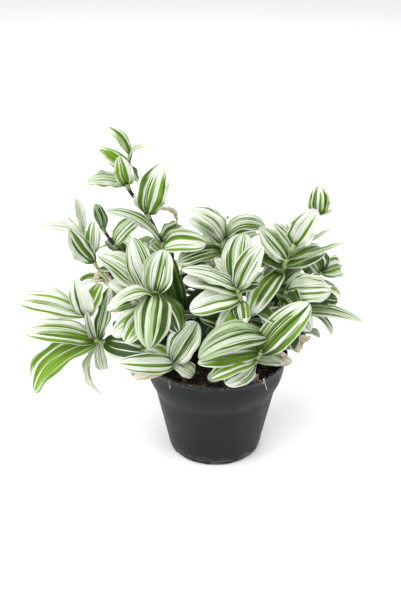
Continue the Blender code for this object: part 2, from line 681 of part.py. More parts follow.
def make_pot():
    """The moulded pot with drain holes through its base."""
    vertices, faces = turned_profile(pot_profile(), POT_SIDES)
    pot = solid("pot", vertices, faces, principled("black plastic", POT_COLOUR, POT_ROUGHNESS))
    holes = []
    for hole in range(DRAIN_COUNT):
        turn = 2 * math.pi * hole / DRAIN_COUNT + DRAIN_TURN
        holes.append(cutter("drain", DRAIN_CIRCLE * math.cos(turn), DRAIN_CIRCLE * math.sin(turn),
                            DRAIN_RADIUS, -CUT_OVERRUN, POT_WALL + CUT_OVERRUN, DRAIN_SIDES))
    cut(pot, holes)
    return pot


def make_soil():
    """The plug of soil, lumpy on top, with a plain hole for each stem."""
    vertices, faces = turned_profile(soil_profile(), POT_SIDES)
    lumps = np.random.default_rng(SOIL_SEED).uniform(-SOIL_LUMP, SOIL_LUMP, len(vertices))
    top = vertices[:, 2] > SOIL_TOP - SOIL_EDGE_DROP / 2
    vertices[top, 2] += lumps[top]
    soil = solid("soil", vertices, faces, principled("damp soil", SOIL_COLOUR, SOIL_ROUGHNESS))
    holes = []
    for name, shoot in SHOOTS.items():
        x, y, foot = shoot["route"][0]
        radius = shoot["radii"][0] + HOLE_GAP
        holes.append(cutter("hole_" + name, x, y, radius, HOLE_FLOOR, SOIL_TOP + HOLE_OVERRUN, STEM_SIDES))
    cut(soil, holes)
    return soil


def make_shoots():
    """Grow every shoot clear of the pot, the soil and the shoots before it."""
    leaf_green = principled("striped leaf", SHOOT_COLOUR, SHOOT_ROUGHNESS)
    pot_walls = turned_profile(pot_profile(), POT_SIDES)
    lid = SOIL_TOP + LID_RISE
    soil_lid = (np.array(((-LID_HALF, -LID_HALF, lid), (LID_HALF, -LID_HALF, lid),
                          (LID_HALF, LID_HALF, lid), (-LID_HALF, LID_HALF, lid))), [(0, 1, 2), (0, 2, 3)])
    stems = {name: stem_mesh(shoot["route"], shoot["radii"]) for name, shoot in SHOOTS.items()}
    grown = {}
    own = {name: [stem] for name, stem in stems.items()}
    generator = np.random.default_rng(LOW_SEED)
    rounds = [(name, shoot["blades"]) for name, shoot in SHOOTS.items()]
    rounds += [(name, low_blades(*place, generator)) for name, place in LOW_BLADES.items()]
    for name, blades in rounds:
        others = [pot_walls, soil_lid]
        for other in SHOOTS:
            if other != name:
                others.append(stems[other])
                others += [blade_mesh(blade) for blade in grown.get(other, [])]
        more = placed_blades(SHOOTS[name]["route"], blades, own[name], tree_of(others))
        grown[name] = grown.get(name, []) + more
    for name in SHOOTS:
        fused(name, [stems[name]] + [blade_mesh(blade) for blade in grown[name]], leaf_green)
    return grown


clear_scene()
generator = np.random.default_rng(BACK_SEED)
for shoot_name, shoot_place in BACK_SHOOTS.items():
    SHOOTS[shoot_name] = back_shoot(shoot_place, generator)
make_pot()
make_soil()
make_shoots()
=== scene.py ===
"""Small-leaf spiderwort with white-striped leaves in a black nursery pot: its looks.

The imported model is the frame. Each piece is worked out on a grid where its solid
stands. Lengths are written in millimetres and become metres in the meshes; the
pot's base lies on z = 0 with its centre on the origin, and -Y is the front.
"""

import math

import bpy
import numpy as np
from mathutils.bvhtree import BVHTree
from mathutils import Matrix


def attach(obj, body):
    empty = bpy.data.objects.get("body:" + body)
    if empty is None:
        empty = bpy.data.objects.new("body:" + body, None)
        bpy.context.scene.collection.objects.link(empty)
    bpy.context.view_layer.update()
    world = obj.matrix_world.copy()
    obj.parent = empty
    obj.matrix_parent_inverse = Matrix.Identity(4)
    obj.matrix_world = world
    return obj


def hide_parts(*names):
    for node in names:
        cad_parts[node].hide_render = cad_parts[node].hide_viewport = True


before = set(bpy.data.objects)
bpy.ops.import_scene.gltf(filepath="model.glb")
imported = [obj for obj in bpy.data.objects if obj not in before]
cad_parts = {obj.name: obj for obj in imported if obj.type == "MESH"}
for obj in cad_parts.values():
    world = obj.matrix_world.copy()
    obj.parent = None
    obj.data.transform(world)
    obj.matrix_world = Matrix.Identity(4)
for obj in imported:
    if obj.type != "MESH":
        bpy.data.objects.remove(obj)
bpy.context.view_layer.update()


# The pot: a thin nursery pot of black plastic, moulded in one shot, with a turned-out
# rim, a smooth collar, a shoulder and a tapering wall over a pierced floor. Handling
# has dulled it and left dust on it, and the edge of its foot is creased.
MM = 0.001
POT_HEIGHT = 90.0
RIM_RADIUS = 60.0
RIM_DEPTH = 3.0
RIM_ROUND = 0.6
COLLAR_TOP = (58.6, 85.6)
COLLAR_FOOT = (57.0, 74.0)
SHOULDER_TOP = (54.6, 66.0)
SHOULDER_FOOT = (50.7, 58.5)
WALL_MIDDLE = (46.3, 38.0)
WALL_FOOT = (39.2, 3.6)
FOOT_EDGE = (38.4, 1.2)
BASE_RADIUS = 36.6
POT_WALL = 1.3
WALL_RISE = 0.2
FLOOR_RADIUS = 37.0
POT_SIDES = 36
FINE_POT_SIDES = 180
CORNER_REACH = 4.0
CORNER_SHARE = 0.48
CORNER_STEPS = 9
CREASE_COUNTS = (9, 14, 23, 37)
CREASE_DEPTH = 0.21
CREASE_HEIGHT = 3.0
CREASE_START = 15.0
CREASE_SPAN = 30.0
OVAL_DEPTH = 0.25
OVAL_TURN = 0.8
POT_SEED = 3
DRAIN_COUNT = 6
DRAIN_RADIUS = 3.5
DRAIN_CIRCLE = 26.0
DRAIN_TURN = 0.12
DRAIN_SIDES = 28
DRAIN_CUT = 6.0
PLASTIC_GRAIN = 1100.0
SPECK_FINENESS = 520.0
DUSTY_RIM = (0.0850, 0.0900)
CRINKLED_FOOT = (0.0105, 0.0060)
CRINKLE_STRETCH = (90.0, 90.0, 620.0)
PLASTIC = (0.0045, 0.0050, 0.0062, 1.0)
PLASTIC_DULL = (0.011, 0.012, 0.014, 1.0)
PLASTIC_CRINKLE_HIGHLIGHT = (0.085, 0.085, 0.088, 1.0)
DUST = (0.20, 0.17, 0.14, 1.0)


def pot_profile():
    """The pot's section: out along the base, up the outside, down the inside."""
    outside = [(BASE_RADIUS, 0.0), FOOT_EDGE, WALL_FOOT, WALL_MIDDLE, SHOULDER_FOOT, SHOULDER_TOP,
               COLLAR_FOOT, COLLAR_TOP, (RIM_RADIUS, POT_HEIGHT - RIM_DEPTH),
               (RIM_RADIUS, POT_HEIGHT - RIM_ROUND), (RIM_RADIUS - RIM_ROUND, POT_HEIGHT)]
    inside = [(RIM_RADIUS - POT_WALL, POT_HEIGHT - RIM_ROUND)]
    for radius, height in (COLLAR_TOP, COLLAR_FOOT, SHOULDER_TOP, SHOULDER_FOOT, WALL_MIDDLE, WALL_FOOT):
        inside.append((radius - POT_WALL, height + WALL_RISE))
    inside.append((FLOOR_RADIUS, POT_WALL))
    return np.array([(0.0, 0.0)] + outside + inside + [(0.0, POT_WALL)])


def softened(profile, reach, steps):
    """The profile with each inner corner p turned into the curve (1-t)^2 a + 2t(1-t) p + t^2 b.

    a and b lie on the two sides of the corner, by the reach or just under half the side.
    """
    before, corner, after = profile[:-2], profile[1:-1], profile[2:]
    to_before, to_after = before - corner, after - corner
    sides = [np.linalg.norm(way, axis=1, keepdims=True) for way in (to_before, to_after)]
    a = corner + to_before * np.minimum(reach / sides[0], CORNER_SHARE)
    b = corner + to_after * np.minimum(reach / sides[1], CORNER_SHARE)
    t = np.linspace(0.0, 1.0, steps)[None, :, None]
    curve = (1 - t) ** 2 * a[:, None] + 2 * t * (1 - t) * corner[:, None] + t ** 2 * b[:, None]
    return np.vstack((profile[:1], curve.reshape(-1, 2), profile[-1:]))


def grid_quads(rows, columns, loop=False):
    """Corner numbers of a grid's squares; a loop joins its last column to its first."""
    index = np.arange(rows * columns).reshape(rows, columns)
    if loop:
        index = np.hstack((index, index[:, :1]))
    quads = np.stack((index[:-1, :-1], index[:-1, 1:], index[1:, 1:], index[1:, :-1]), axis=-1)
    return quads.reshape(-1, 4)


def turned(profile, sides):
    """Points and faces of a profile turned round +Z: (r cos a, r sin a, z) for each r, z and a.

    The profile starts and ends on the axis, where fans of triangles close it.
    """
    angle = np.arange(sides) * 2 * math.pi / sides
    radius, height = profile[1:-1, 0], profile[1:-1, 1]
    grid = np.stack((np.outer(radius, np.cos(angle)), np.outer(radius, np.sin(angle)),
                     np.repeat(height[:, None], sides, axis=1)), axis=-1)
    points = np.vstack((grid.reshape(-1, 3), (0.0, 0.0, profile[0, 1]), (0.0, 0.0, profile[-1, 1])))
    ring = np.arange(sides)
    last = len(points) - 2 - sides + ring
    low = np.stack((np.full(sides, len(points) - 2), np.roll(ring, -1), ring), axis=-1)
    high = np.stack((last, np.roll(last, -1), np.full(sides, len(points) - 1)), axis=-1)
    faces = grid_quads(len(radius), sides, loop=True).tolist() + low.tolist() + high.tolist()
    return points, faces


def mesh_piece(name, points, faces, material, **values):
    """A smooth mesh object from points in millimetres, with named values kept at its points."""
    mesh = bpy.data.meshes.new(name)
    mesh.from_pydata((points * MM).tolist(), [], faces)
    for value_name, value in values.items():
        kind, field = ("FLOAT_VECTOR", "vector") if value.ndim == 2 else ("FLOAT", "value")
        kept = mesh.attributes.new(value_name, kind, "POINT")
        kept.data.foreach_set(field, value.astype(np.float32).ravel())
    mesh.shade_smooth()
    mesh.materials.append(material)
    piece = bpy.data.objects.new(name, mesh)
    bpy.context.scene.collection.objects.link(piece)
    return piece


def stand_for(piece, slot, *nodes):
    """The piece rides on the root and stands for the nodes, which are hidden. The slot is not used."""
    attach(piece, "root")
    if nodes:
        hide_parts(*nodes)


def put(tree, kind, inputs, **settings):
    """A new node: settings are its own options, and inputs are numbers, colours or sockets."""
    node = tree.nodes.new("ShaderNode" + kind)
    for option, value in settings.items():
        setattr(node, option, value)
    for key, value in inputs.items():
        if isinstance(value, bpy.types.NodeSocket):
            tree.links.new(value, node.inputs[key])
        else:
            node.inputs[key].default_value = value
    return node


def calc(tree, operation, a, b=0.0, c=0.0):
    """The socket that holds a sum, product or other operation on numbers."""
    return put(tree, "Math", {0: a, 1: b, 2: c}, operation=operation).outputs[0]


def product(tree, a, b):
    """The socket that holds a times b."""
    return calc(tree, "MULTIPLY", a, b)


def swung(tree, wave, by, onto):
    """The socket that holds onto, plus by times the wave's swing about one half."""
    return calc(tree, "MULTIPLY_ADD", calc(tree, "SUBTRACT", wave, 0.5), by, onto)


def smooth_step(tree, value, start, end, low=0.0, high=1.0):
    """The socket that goes smoothly from low to high as the value goes from start to end."""
    return put(tree, "MapRange", {"Value": value, "From Min": start, "From Max": end, "To Min": low,
                                  "To Max": high}, interpolation_type="SMOOTHSTEP").outputs[0]


def mixed(tree, share, first, second):
    """The socket that holds the first colour at share 0 and the second at share 1."""
    return put(tree, "Mix", {0: share, 6: first, 7: second}, data_type="RGBA").outputs[2]


def noise(tree, place, scale, detail=2.0, roughness=0.5):
    """The socket that holds smooth noise about one half, with cells of one unit over the scale."""
    return put(tree, "TexNoise", {"Vector": place, "Scale": scale, "Detail": detail,
                                  "Roughness": roughness}).outputs[0]


def own_place(tree):
    """The socket that holds the place on the piece itself, in metres."""
    return put(tree, "TexCoord", {}).outputs["Object"]


def own_values(tree, name):
    """The three sockets of the values that the piece keeps under the name."""
    kept = put(tree, "Attribute", {}, attribute_name=name).outputs["Vector"]
    return put(tree, "SeparateXYZ", {0: kept}).outputs


def stretched_noise(tree, place, stretch, detail=2.0, roughness=0.5):
    """The socket that holds noise at the place times the stretch, axis by axis."""
    moved = put(tree, "VectorMath", {0: place, 1: stretch}, operation="MULTIPLY").outputs[0]
    return noise(tree, moved, 1.0, detail, roughness)


def new_material(name):
    """An empty node material with a Principled shader, and its tree and shader."""
    material = bpy.data.materials.new(name)
    material.use_nodes = True
    return material, material.node_tree, material.node_tree.nodes["Principled BSDF"]


def grain_group():
    """Fine grain and broad patches: noise at the fineness, and at a fifteenth of it."""
    tree = bpy.data.node_groups.new("grain and patches", "ShaderNodeTree")
    tree.interface.new_socket("Place", in_out="INPUT", socket_type="NodeSocketVector")
    tree.interface.new_socket("Fineness", in_out="INPUT", socket_type="NodeSocketFloat")
    tree.interface.new_socket("Grain", in_out="OUTPUT", socket_type="NodeSocketFloat")
    tree.interface.new_socket("Patches", in_out="OUTPUT", socket_type="NodeSocketFloat")
    given = tree.nodes.new("NodeGroupInput")
    made = tree.nodes.new("NodeGroupOutput")
    fine = noise(tree, given.outputs["Place"], given.outputs["Fineness"], 4.0, 0.6)
    broad_scale = calc(tree, "DIVIDE", given.outputs["Fineness"], 15.0)
    broad = noise(tree, given.outputs["Place"], broad_scale, 3.0)
    tree.links.new(fine, made.inputs["Grain"])
    tree.links.new(smooth_step(tree, broad, 0.40, 0.64), made.inputs["Patches"])
    return tree


GRAIN = grain_group()


def grain(tree, place, fineness):
    """The grain and patches sockets of the shared group at this place and fineness."""
    node = put(tree, "Group", {}, node_tree=GRAIN)
    tree.links.new(place, node.inputs["Place"])
    node.inputs["Fineness"].default_value = fineness
    return node.outputs["Grain"], node.outputs["Patches"]


def bump(tree, shader, height, strength, distance):
    """Feed a height, in units of the distance, to the shader's normal."""
    raised = put(tree, "Bump", {"Height": height, "Strength": strength, "Distance": distance})
    tree.links.new(raised.outputs["Normal"], shader.inputs["Normal"])


def plastic_material():
    """Black plastic, satin, duller in patches, dusty at the rim, and paler along the foot's crinkles as
    painted highlights.
    """
    material, tree, shader = new_material("black plastic")
    place = own_place(tree)
    fine, patches = grain(tree, place, PLASTIC_GRAIN)
    height = put(tree, "SeparateXYZ", {0: place}).outputs["Z"]
    near_rim = smooth_step(tree, height, *DUSTY_RIM)
    near_foot = smooth_step(tree, height, *CRINKLED_FOOT)
    body = mixed(tree, product(tree, patches, 0.45), PLASTIC, PLASTIC_DULL)
    crinkles = stretched_noise(tree, place, CRINKLE_STRETCH)
    # Painted highlights: paler streaks on the crinkles along the foot
    crinkle_highlights = product(tree, near_foot, smooth_step(tree, crinkles, 0.51, 0.60, 0.0, 0.8))
    body = mixed(tree, crinkle_highlights, body, PLASTIC_CRINKLE_HIGHLIGHT)
    specks = smooth_step(tree, noise(tree, place, SPECK_FINENESS, 3.0), 0.54, 0.68)
    ends = calc(tree, "ADD", product(tree, near_rim, 0.85), product(tree, near_foot, 0.18))
    dusty = product(tree, calc(tree, "ADD", ends, 0.012), specks)
    tree.links.new(mixed(tree, dusty, body, DUST), shader.inputs["Base Color"])
    sheen = calc(tree, "MULTIPLY_ADD", patches, 0.10, 0.40)
    tree.links.new(calc(tree, "MULTIPLY_ADD", fine, 0.08, sheen), shader.inputs["Roughness"])
    folds = product(tree, product(tree, crinkles, near_foot), 14.0)
    bump(tree, shader, calc(tree, "MULTIPLY_ADD", fine, 0.5, folds), 0.4, 0.00012)
    shader.inputs["Specular IOR Level"].default_value = 0.21
    return material


def creased(points, draw):
    """The pot's points moved out or in: an oval that grows with height, and creases at the foot.

    The oval is a cosine of twice the angle; the creases are four sines of the angle
    that die away with height. Both fade out towards the middle of the floor.
    """
    angle = np.arctan2(points[:, 1], points[:, 0])
    oval = OVAL_DEPTH * np.cos(2 * angle + OVAL_TURN) * points[:, 2] / POT_HEIGHT
    creases = sum(np.sin(count * angle + draw.uniform(0, 2 * math.pi)) for count in CREASE_COUNTS)
    creases = CREASE_DEPTH * creases * np.exp(-points[:, 2] / CREASE_HEIGHT)
    radius = np.linalg.norm(points[:, :2], axis=1)
    outer = np.clip((radius - CREASE_START) / CREASE_SPAN, 0, 1)
    share = (oval + creases) / np.maximum(radius, 1.0) * outer
    return points * np.stack((1 + share, 1 + share, np.ones_like(share)), axis=-1)


def drained(pot):
    """The pot with round drain holes cut through its floor."""
    for hole in range(DRAIN_COUNT):
        turn = 2 * math.pi * hole / DRAIN_COUNT + DRAIN_TURN
        where = (DRAIN_CIRCLE * math.cos(turn) * MM, DRAIN_CIRCLE * math.sin(turn) * MM, 0.0)
        bpy.ops.mesh.primitive_cylinder_add(vertices=DRAIN_SIDES, radius=DRAIN_RADIUS * MM,
                                            depth=DRAIN_CUT * MM, location=where)
        tool = bpy.context.object
        cut = pot.modifiers.new("drain", "BOOLEAN")
        cut.object = tool
        cut.operation = "DIFFERENCE"
        with bpy.context.temp_override(object=pot, active_object=pot):
            bpy.ops.object.modifier_apply(modifier=cut.name)
        bpy.data.objects.remove(tool, do_unlink=True)


pot_points, pot_faces = turned(softened(pot_profile(), CORNER_REACH, CORNER_STEPS), FINE_POT_SIDES)
pot = mesh_piece("nursery_pot", creased(pot_points, np.random.default_rng(POT_SEED)), pot_faces,
                 plastic_material())
drained(pot)
stand_for(pot, "pot_plastic", "pot")


# The soil: a plug of dark peaty compost, settled a finger's breadth below the rim.
# Its top is uneven and strewn with crumbs, bits of bark and fibre, and it fills the
# pot down to its floor.
FIT_GAP = 0.3
SOIL_TOP = 79.5
SOIL_SEED = 11
SOIL_ROWS = 80
SOIL_COLUMNS = 220
SOIL_REACH = 55.2
SOIL_MIDDLE = 0.4
SOIL_WAVES = 60
LONGEST_WAVE = 30.0
SHORTEST_SHARE = 0.055
WAVE_POWER = 0.75
SOIL_HEIGHT = 1.5
TALLEST_LUMP = 2.6
CRUMB_COUNT = 2600
CRUMB_SIZES = (0.35, 1.7)
CRUMB_STRETCH = (0.6, 1.5)
CRUMB_DENTS = 0.16
CRUMB_RISE = 0.3
CRUMB_SPREAD = 0.98
CRUMB_ROOM = 1.6
CRUMB_PALENESS = (-3.2, 1.0)
RIM_CRUMBS = 150
RIM_CRUMB_SIZES = (0.15, 0.55)
RIM_CRUMB_PLACES = (0.3, 1.3)
RIM_CRUMB_PALENESS = (0.1, 0.7)
SOIL_GRAIN = 1500.0
EARTH_DARK = (0.012, 0.008, 0.006, 1.0)
EARTH_BROWN = (0.075, 0.045, 0.028, 1.0)
BARK = (0.21, 0.135, 0.082, 1.0)


def soil_waves(draw):
    """Directions, phases and heights of the waves whose sum is the soil's uneven top."""
    length = LONGEST_WAVE * SHORTEST_SHARE ** draw.uniform(0, 1, SOIL_WAVES)
    turn = draw.uniform(0, 2 * math.pi, SOIL_WAVES)
    ways = np.stack((np.cos(turn), np.sin(turn))) * 2 * math.pi / length
    heights = length ** WAVE_POWER
    return ways, draw.uniform(0, 2 * math.pi, SOIL_WAVES), heights * SOIL_HEIGHT / np.linalg.norm(heights)


def soil_height(x, y, waves):
    """The soil's height at places: its level plus the sum of sines of the waves."""
    ways, phases, heights = waves
    flat = np.stack((np.ravel(x), np.ravel(y)), axis=-1)
    rise = (np.sin(flat @ ways + phases) * heights).sum(axis=1)
    return SOIL_TOP + np.clip(rise, -TALLEST_LUMP, TALLEST_LUMP).reshape(np.shape(x))


def soil_body(waves):
    """The plug: the pot's inner profile drawn in by the gap, under a polar grid of heights."""
    inner = [(radius - POT_WALL - FIT_GAP, height + WALL_RISE)
             for radius, height in (WALL_FOOT, WALL_MIDDLE, SHOULDER_FOOT, SHOULDER_TOP, COLLAR_FOOT)]
    floor = POT_WALL + FIT_GAP
    side = np.array([(BASE_RADIUS, floor)] + inner)
    reach = np.linspace(SOIL_REACH, SOIL_MIDDLE, SOIL_ROWS)
    top = np.stack((reach, np.full(SOIL_ROWS, SOIL_TOP)), axis=-1)
    points, faces = turned(np.vstack(((0.0, floor), side, top, (0.0, SOIL_TOP))), SOIL_COLUMNS)
    upper = points[:, 2] > SOIL_TOP - 1.0
    points[upper, 2] = soil_height(points[upper, 0], points[upper, 1], waves)
    return points, faces


def crumb_shape():
    """Corners and faces of the twenty-sided crumb: the three golden rectangles, joined.

    Its edges are 2 long before it is brought to size, so corners that near are joined.
    """
    long = (1 + 5 ** 0.5) / 2
    edge = 2.0
    a, b = np.meshgrid((-1.0, 1.0), (-long, long))
    flat = np.stack((a.ravel(), b.ravel(), np.zeros(4)), axis=-1)
    corners = np.vstack((flat, np.roll(flat, 1, axis=1), np.roll(flat, 2, axis=1)))
    near = np.linalg.norm(corners[:, None] - corners[None], axis=2) < 1.05 * edge
    triples = [(i, j, k) for i in range(12) for j in range(i + 1, 12) for k in range(j + 1, 12)
               if near[i, j] and near[j, k] and near[i, k]]
    faces = [(i, j, k) if corners[i] @ np.cross(corners[j], corners[k]) > 0 else (i, k, j)
             for i, j, k in triples]
    return corners / np.linalg.norm(corners[0]), np.array(faces)


def crumbs(centres, sizes, draw):
    """Points and faces of many crumbs: the shape stretched, turned and dented for each one.

    Each is the twenty-sided shape, its corners moved by about a sixth of its size,
    times a random stretch of 0.6 to 1.5 along random axes.
    """
    corners, faces = crumb_shape()
    count = len(centres)
    axes = np.linalg.qr(draw.normal(size=(count, 3, 3)))[0]
    stretch = axes * draw.uniform(*CRUMB_STRETCH, (count, 1, 3)) @ axes.transpose(0, 2, 1)
    dented = corners + draw.normal(0, CRUMB_DENTS, (count, *corners.shape))
    points = centres[:, None] + sizes[:, None, None] * (dented @ stretch)
    numbers = faces[None] + len(corners) * np.arange(count)[:, None, None]
    return points.reshape(-1, 3), numbers.reshape(-1, 3)


def soil_material():
    """Damp compost: near-black earth, browner grains, and some crumbs pale as bark."""
    material, tree, shader = new_material("damp soil")
    fine, patches = grain(tree, own_place(tree), SOIL_GRAIN)
    bit = put(tree, "Attribute", {}, attribute_name="crumb_tone").outputs["Fac"]
    earth = mixed(tree, smooth_step(tree, fine, 0.42, 0.66), EARTH_DARK, EARTH_BROWN)
    damp = mixed(tree, product(tree, patches, 0.5), earth, EARTH_DARK)
    tree.links.new(mixed(tree, bit, damp, BARK), shader.inputs["Base Color"])
    tree.links.new(calc(tree, "MULTIPLY_ADD", patches, -0.15, 0.92), shader.inputs["Roughness"])
    bump(tree, shader, fine, 0.9, 0.0006)
    return material


def soil_crumbs(waves, draw):
    """Centres and sizes of the crumbs on the soil, spread evenly, most of them small."""
    reach = SOIL_REACH * np.sqrt(draw.uniform(0, CRUMB_SPREAD, CRUMB_COUNT))
    turn = draw.uniform(0, 2 * math.pi, CRUMB_COUNT)
    small, large = CRUMB_SIZES
    sizes = small * (large / small) ** draw.uniform(0, 1, CRUMB_COUNT) ** 2
    reach = np.minimum(reach, SOIL_REACH - CRUMB_ROOM * sizes)
    x, y = reach * np.cos(turn), reach * np.sin(turn)
    return np.column_stack((x, y, soil_height(x, y, waves) + CRUMB_RISE * sizes)), sizes


def rim_crumbs(draw):
    """Centres and sizes of the crumbs on top of the pot's rim."""
    turn = draw.uniform(0, 2 * math.pi, RIM_CRUMBS)
    reach = RIM_RADIUS - draw.uniform(*RIM_CRUMB_PLACES, RIM_CRUMBS)
    sizes = draw.uniform(*RIM_CRUMB_SIZES, RIM_CRUMBS)
    height = POT_HEIGHT + CRUMB_RISE * sizes
    return np.column_stack((reach * np.cos(turn), reach * np.sin(turn), height)), sizes


soil_draw = np.random.default_rng(SOIL_SEED)
waves = soil_waves(soil_draw)
body_points, body_faces = soil_body(waves)
centres, sizes = soil_crumbs(waves, soil_draw)
on_rim, rim_sizes = rim_crumbs(soil_draw)
crumb_points, crumb_faces = crumbs(np.vstack((centres, on_rim)), np.append(sizes, rim_sizes), soil_draw)
pale = np.clip(soil_draw.uniform(*CRUMB_PALENESS, CRUMB_COUNT + RIM_CRUMBS), 0, 1)
pale[CRUMB_COUNT:] = soil_draw.uniform(*RIM_CRUMB_PALENESS, RIM_CRUMBS)
soil_tone = np.append(np.zeros(len(body_points)), np.repeat(pale, len(crumb_shape()[0])))
soil = mesh_piece("compost", np.vstack((body_points, crumb_points)),
                  body_faces + (crumb_faces + len(body_points)).tolist(), soil_material(),
                  crumb_tone=soil_tone)
stand_for(soil, "soil", "soil")


# The stems: jointed, juicy and a little zigzag, rooted in the soil. Old ones are
# purple-black, young ones pinkish or pale green. Each is swollen at its joints, where
# the sheath of a leaf wraps it.
STEM_FOOT = 64.4
STEM_CLEAR = 86.0
STEM_SIDES = 5
STEM_STEPS = 2
ROUTE_STEPS = 8
FINE_STEM_SIDES = 14
FINE_STEM_STEPS = 14
JOINT_SWELL = 0.22
JOINT_REACH = 0.07
STOUTNESS = 0.22
STEM_END = 0.4
SHEATH_LENGTH = 5.5
SHORTEST_SHEATH = 1.2
SHEATH_SHARE = 0.26
SHEATH_LIP = 0.7
SHEATH_CLEAR = 0.8
SHEATH_STEPS = 40
SHEATH_RINGS = 7
SHEATH_FOOT = 1.05
SHEATH_INSIDE = 0.9
SHEATH_WALL = 0.35
SHEATH_FLARE = 0.75
SHEATH_BACK = 0.35
SHEATH_SKIN = 0.22
SHEATH_FADE = 2.5
STEM_GRAIN = 900.0
STREAK_STRETCH = (900.0, 900.0, 60.0)
STEM_GREEN = (0.15, 0.25, 0.05, 1.0)
STEM_PURPLE = (0.022, 0.010, 0.017, 1.0)
STEM_PINK = (0.33, 0.17, 0.13, 1.0)
SHEATH_PALE = (0.40, 0.50, 0.22, 1.0)

# Each stem's route, its radius at its foot and its end, and how purple it is
STEMS = {
    "shoot_tall": (((-20, 15, 64.4), (-20, 15, 86), (-25, 13, 125), (-34, 10, 155), (-41, 8, 176),
                    (-50, 10, 198), (-59, 12, 213), (-69, 14, 228), (-68, 16, 245), (-66, 18, 256)),
                   (1.8, 1.1), 1.0),
    "shoot_left_high": (((-36, 24, 64.4), (-36, 24, 86), (-44, 23, 118), (-62, 20, 150), (-82, 18, 177),
                         (-92, 20, 192)), (1.6, 1.0), 0.9),
    "shoot_left_mid": (((-38, 2, 64.4), (-38, 2, 86), (-46, 0, 118), (-62, -3, 146), (-82, -5, 161),
                        (-91, -5, 165), (-96, -4, 171), (-104, 2, 195)), (1.7, 1.0), 0.6),
    "shoot_left_front": (((-28, -25, 64.4), (-28, -25, 86), (-34, -30, 110), (-42, -38, 138),
                          (-47, -45, 160), (-46, -48, 167)), (1.9, 1.4), 0.55),
    "shoot_far_left": (((-42, -14, 64.4), (-42, -14, 86), (-52, -16, 101), (-72, -19, 109),
                        (-95, -20, 109), (-101, -20, 120), (-104, -20, 132)), (1.8, 1.3), 0.5),
    "shoot_front_left": (((-25, -38, 64.4), (-25, -38, 86), (-28, -44, 99), (-34, -52, 108)),
                         (1.7, 1.3), 0.3),
    "shoot_front": (((22, -30, 64.4), (22, -30, 86), (27, -40, 98), (31, -48, 108), (39, -50, 130)),
                    (1.8, 1.4), 0.35),
    "shoot_centre": (((12, -18, 64.4), (12, -18, 86), (19, -26, 106), (23, -31, 122), (20, -36, 145),
                      (16, -40, 166)), (2.0, 1.6), 0.3),
    "shoot_back_mid": (((0, 8, 64.4), (0, 8, 86), (1, 6, 120), (3, 3, 152), (5, 0, 180), (7, 0, 190)),
                       (1.8, 1.2), 0.4),
    "shoot_right": (((30, 2, 64.4), (30, 2, 86), (36, -2, 112), (45, -7, 145), (54, -10, 174),
                     (62, -6, 190), (72, -2, 203), (79, 0, 210)), (1.9, 1.1), 0.05),
    "shoot_right_back": (((36, 22, 64.4), (36, 22, 86), (46, 22, 112), (66, 21, 137), (87, 20, 152)),
                         (1.7, 1.2), 0.3),
    "shoot_right_low": (((40, -12, 64.4), (40, -12, 86), (43, -16, 112), (48, -20, 136), (56, -18, 153)),
                        (1.8, 1.3), 0.2),
}


def unit(vector):
    """The vector at length one."""
    return vector / max(np.linalg.norm(vector), 1e-9)


def rounded_route(points, steps):
    """Points and route numbers on a smooth curve through the route's points.

    The first leg is straight. The others are cubic curves whose slope at each point
    is that of the line between its neighbours.
    """
    hand = np.array(points, dtype=float)
    ends = np.vstack((2 * hand[0] - hand[1], hand, 2 * hand[-1] - hand[-2]))
    t = (np.arange(steps) / steps)[None, :, None]
    before, start, stop, after = (ends[first:len(ends) - 3 + first, None] for first in range(4))
    curve = 0.5 * (2 * start + (stop - before) * t + (2 * before - 5 * start + 4 * stop - after) * t ** 2
                   + (3 * start - before - 3 * stop + after) * t ** 3)
    curve[0] = (start + (stop - start) * t)[0]
    numbers = np.append(np.arange(len(hand) - 1)[:, None] + t[0, :, 0], len(hand) - 1.0)
    return np.vstack((curve.reshape(-1, 3), hand[-1])), numbers


def route_place(points, number):
    """The place at a route number, on the same smooth curve."""
    places, numbers = rounded_route(points, ROUTE_STEPS)
    return np.array([np.interp(number, numbers, places[:, axis]) for axis in range(3)])


def tube(places, radius, sides):
    """Points and faces of a tube: each place plus r (s cos a + o sin a), s and o square to its way."""
    along = np.gradient(places, axis=0)
    along /= np.linalg.norm(along, axis=1, keepdims=True)
    side = np.cross(along, (0.0, 1.0, 0.0))
    side /= np.linalg.norm(side, axis=1, keepdims=True)
    other = np.cross(along, side)
    angle = np.arange(sides) * 2 * math.pi / sides
    ring = np.cos(angle)[None, :, None] * side[:, None] + np.sin(angle)[None, :, None] * other[:, None]
    points = (places[:, None] + np.reshape(radius, (len(places), -1))[:, :, None] * ring).reshape(-1, 3)
    quads = grid_quads(len(places), sides, loop=True)
    last = len(points) - sides
    return points, quads, [list(range(sides))[::-1], list(range(last, last + sides))]


def halved(quads):
    """Each quad as two triangles: all the first halves, then all the second ones."""
    return np.vstack((quads[:, :3], quads[:, (0, 2, 3)]))


def coarse_stem(points, radii):
    """Points and triangles of the stem's plain solid, for the clearance test."""
    places, numbers = rounded_route(points, STEM_STEPS)
    corners, quads, ends = tube(places, np.interp(numbers, (1.0, numbers[-1]), radii), STEM_SIDES)
    flat = halved(quads).tolist()
    for first, *others in ends:
        flat += [(first, second, third) for second, third in zip(others, others[1:])]
    return corners, flat


def swollen_stem(route, radii, joints):
    """A fine stem: the radius tapers and rises by a bell at each joint's number on the route."""
    places, numbers = rounded_route(route, FINE_STEM_STEPS)
    radius = np.interp(numbers, (1.0, numbers[-1]), radii)
    apart = (numbers[:, None] - np.asarray(joints)[None]) / JOINT_REACH
    radius = radius * (1 + JOINT_SWELL * np.exp(-apart ** 2).max(axis=1))
    radius[-1] *= STEM_END
    points, quads, ends = tube(places, radius, FINE_STEM_SIDES)
    return points, quads.tolist() + ends, np.repeat(numbers / numbers[-1], FINE_STEM_SIDES)


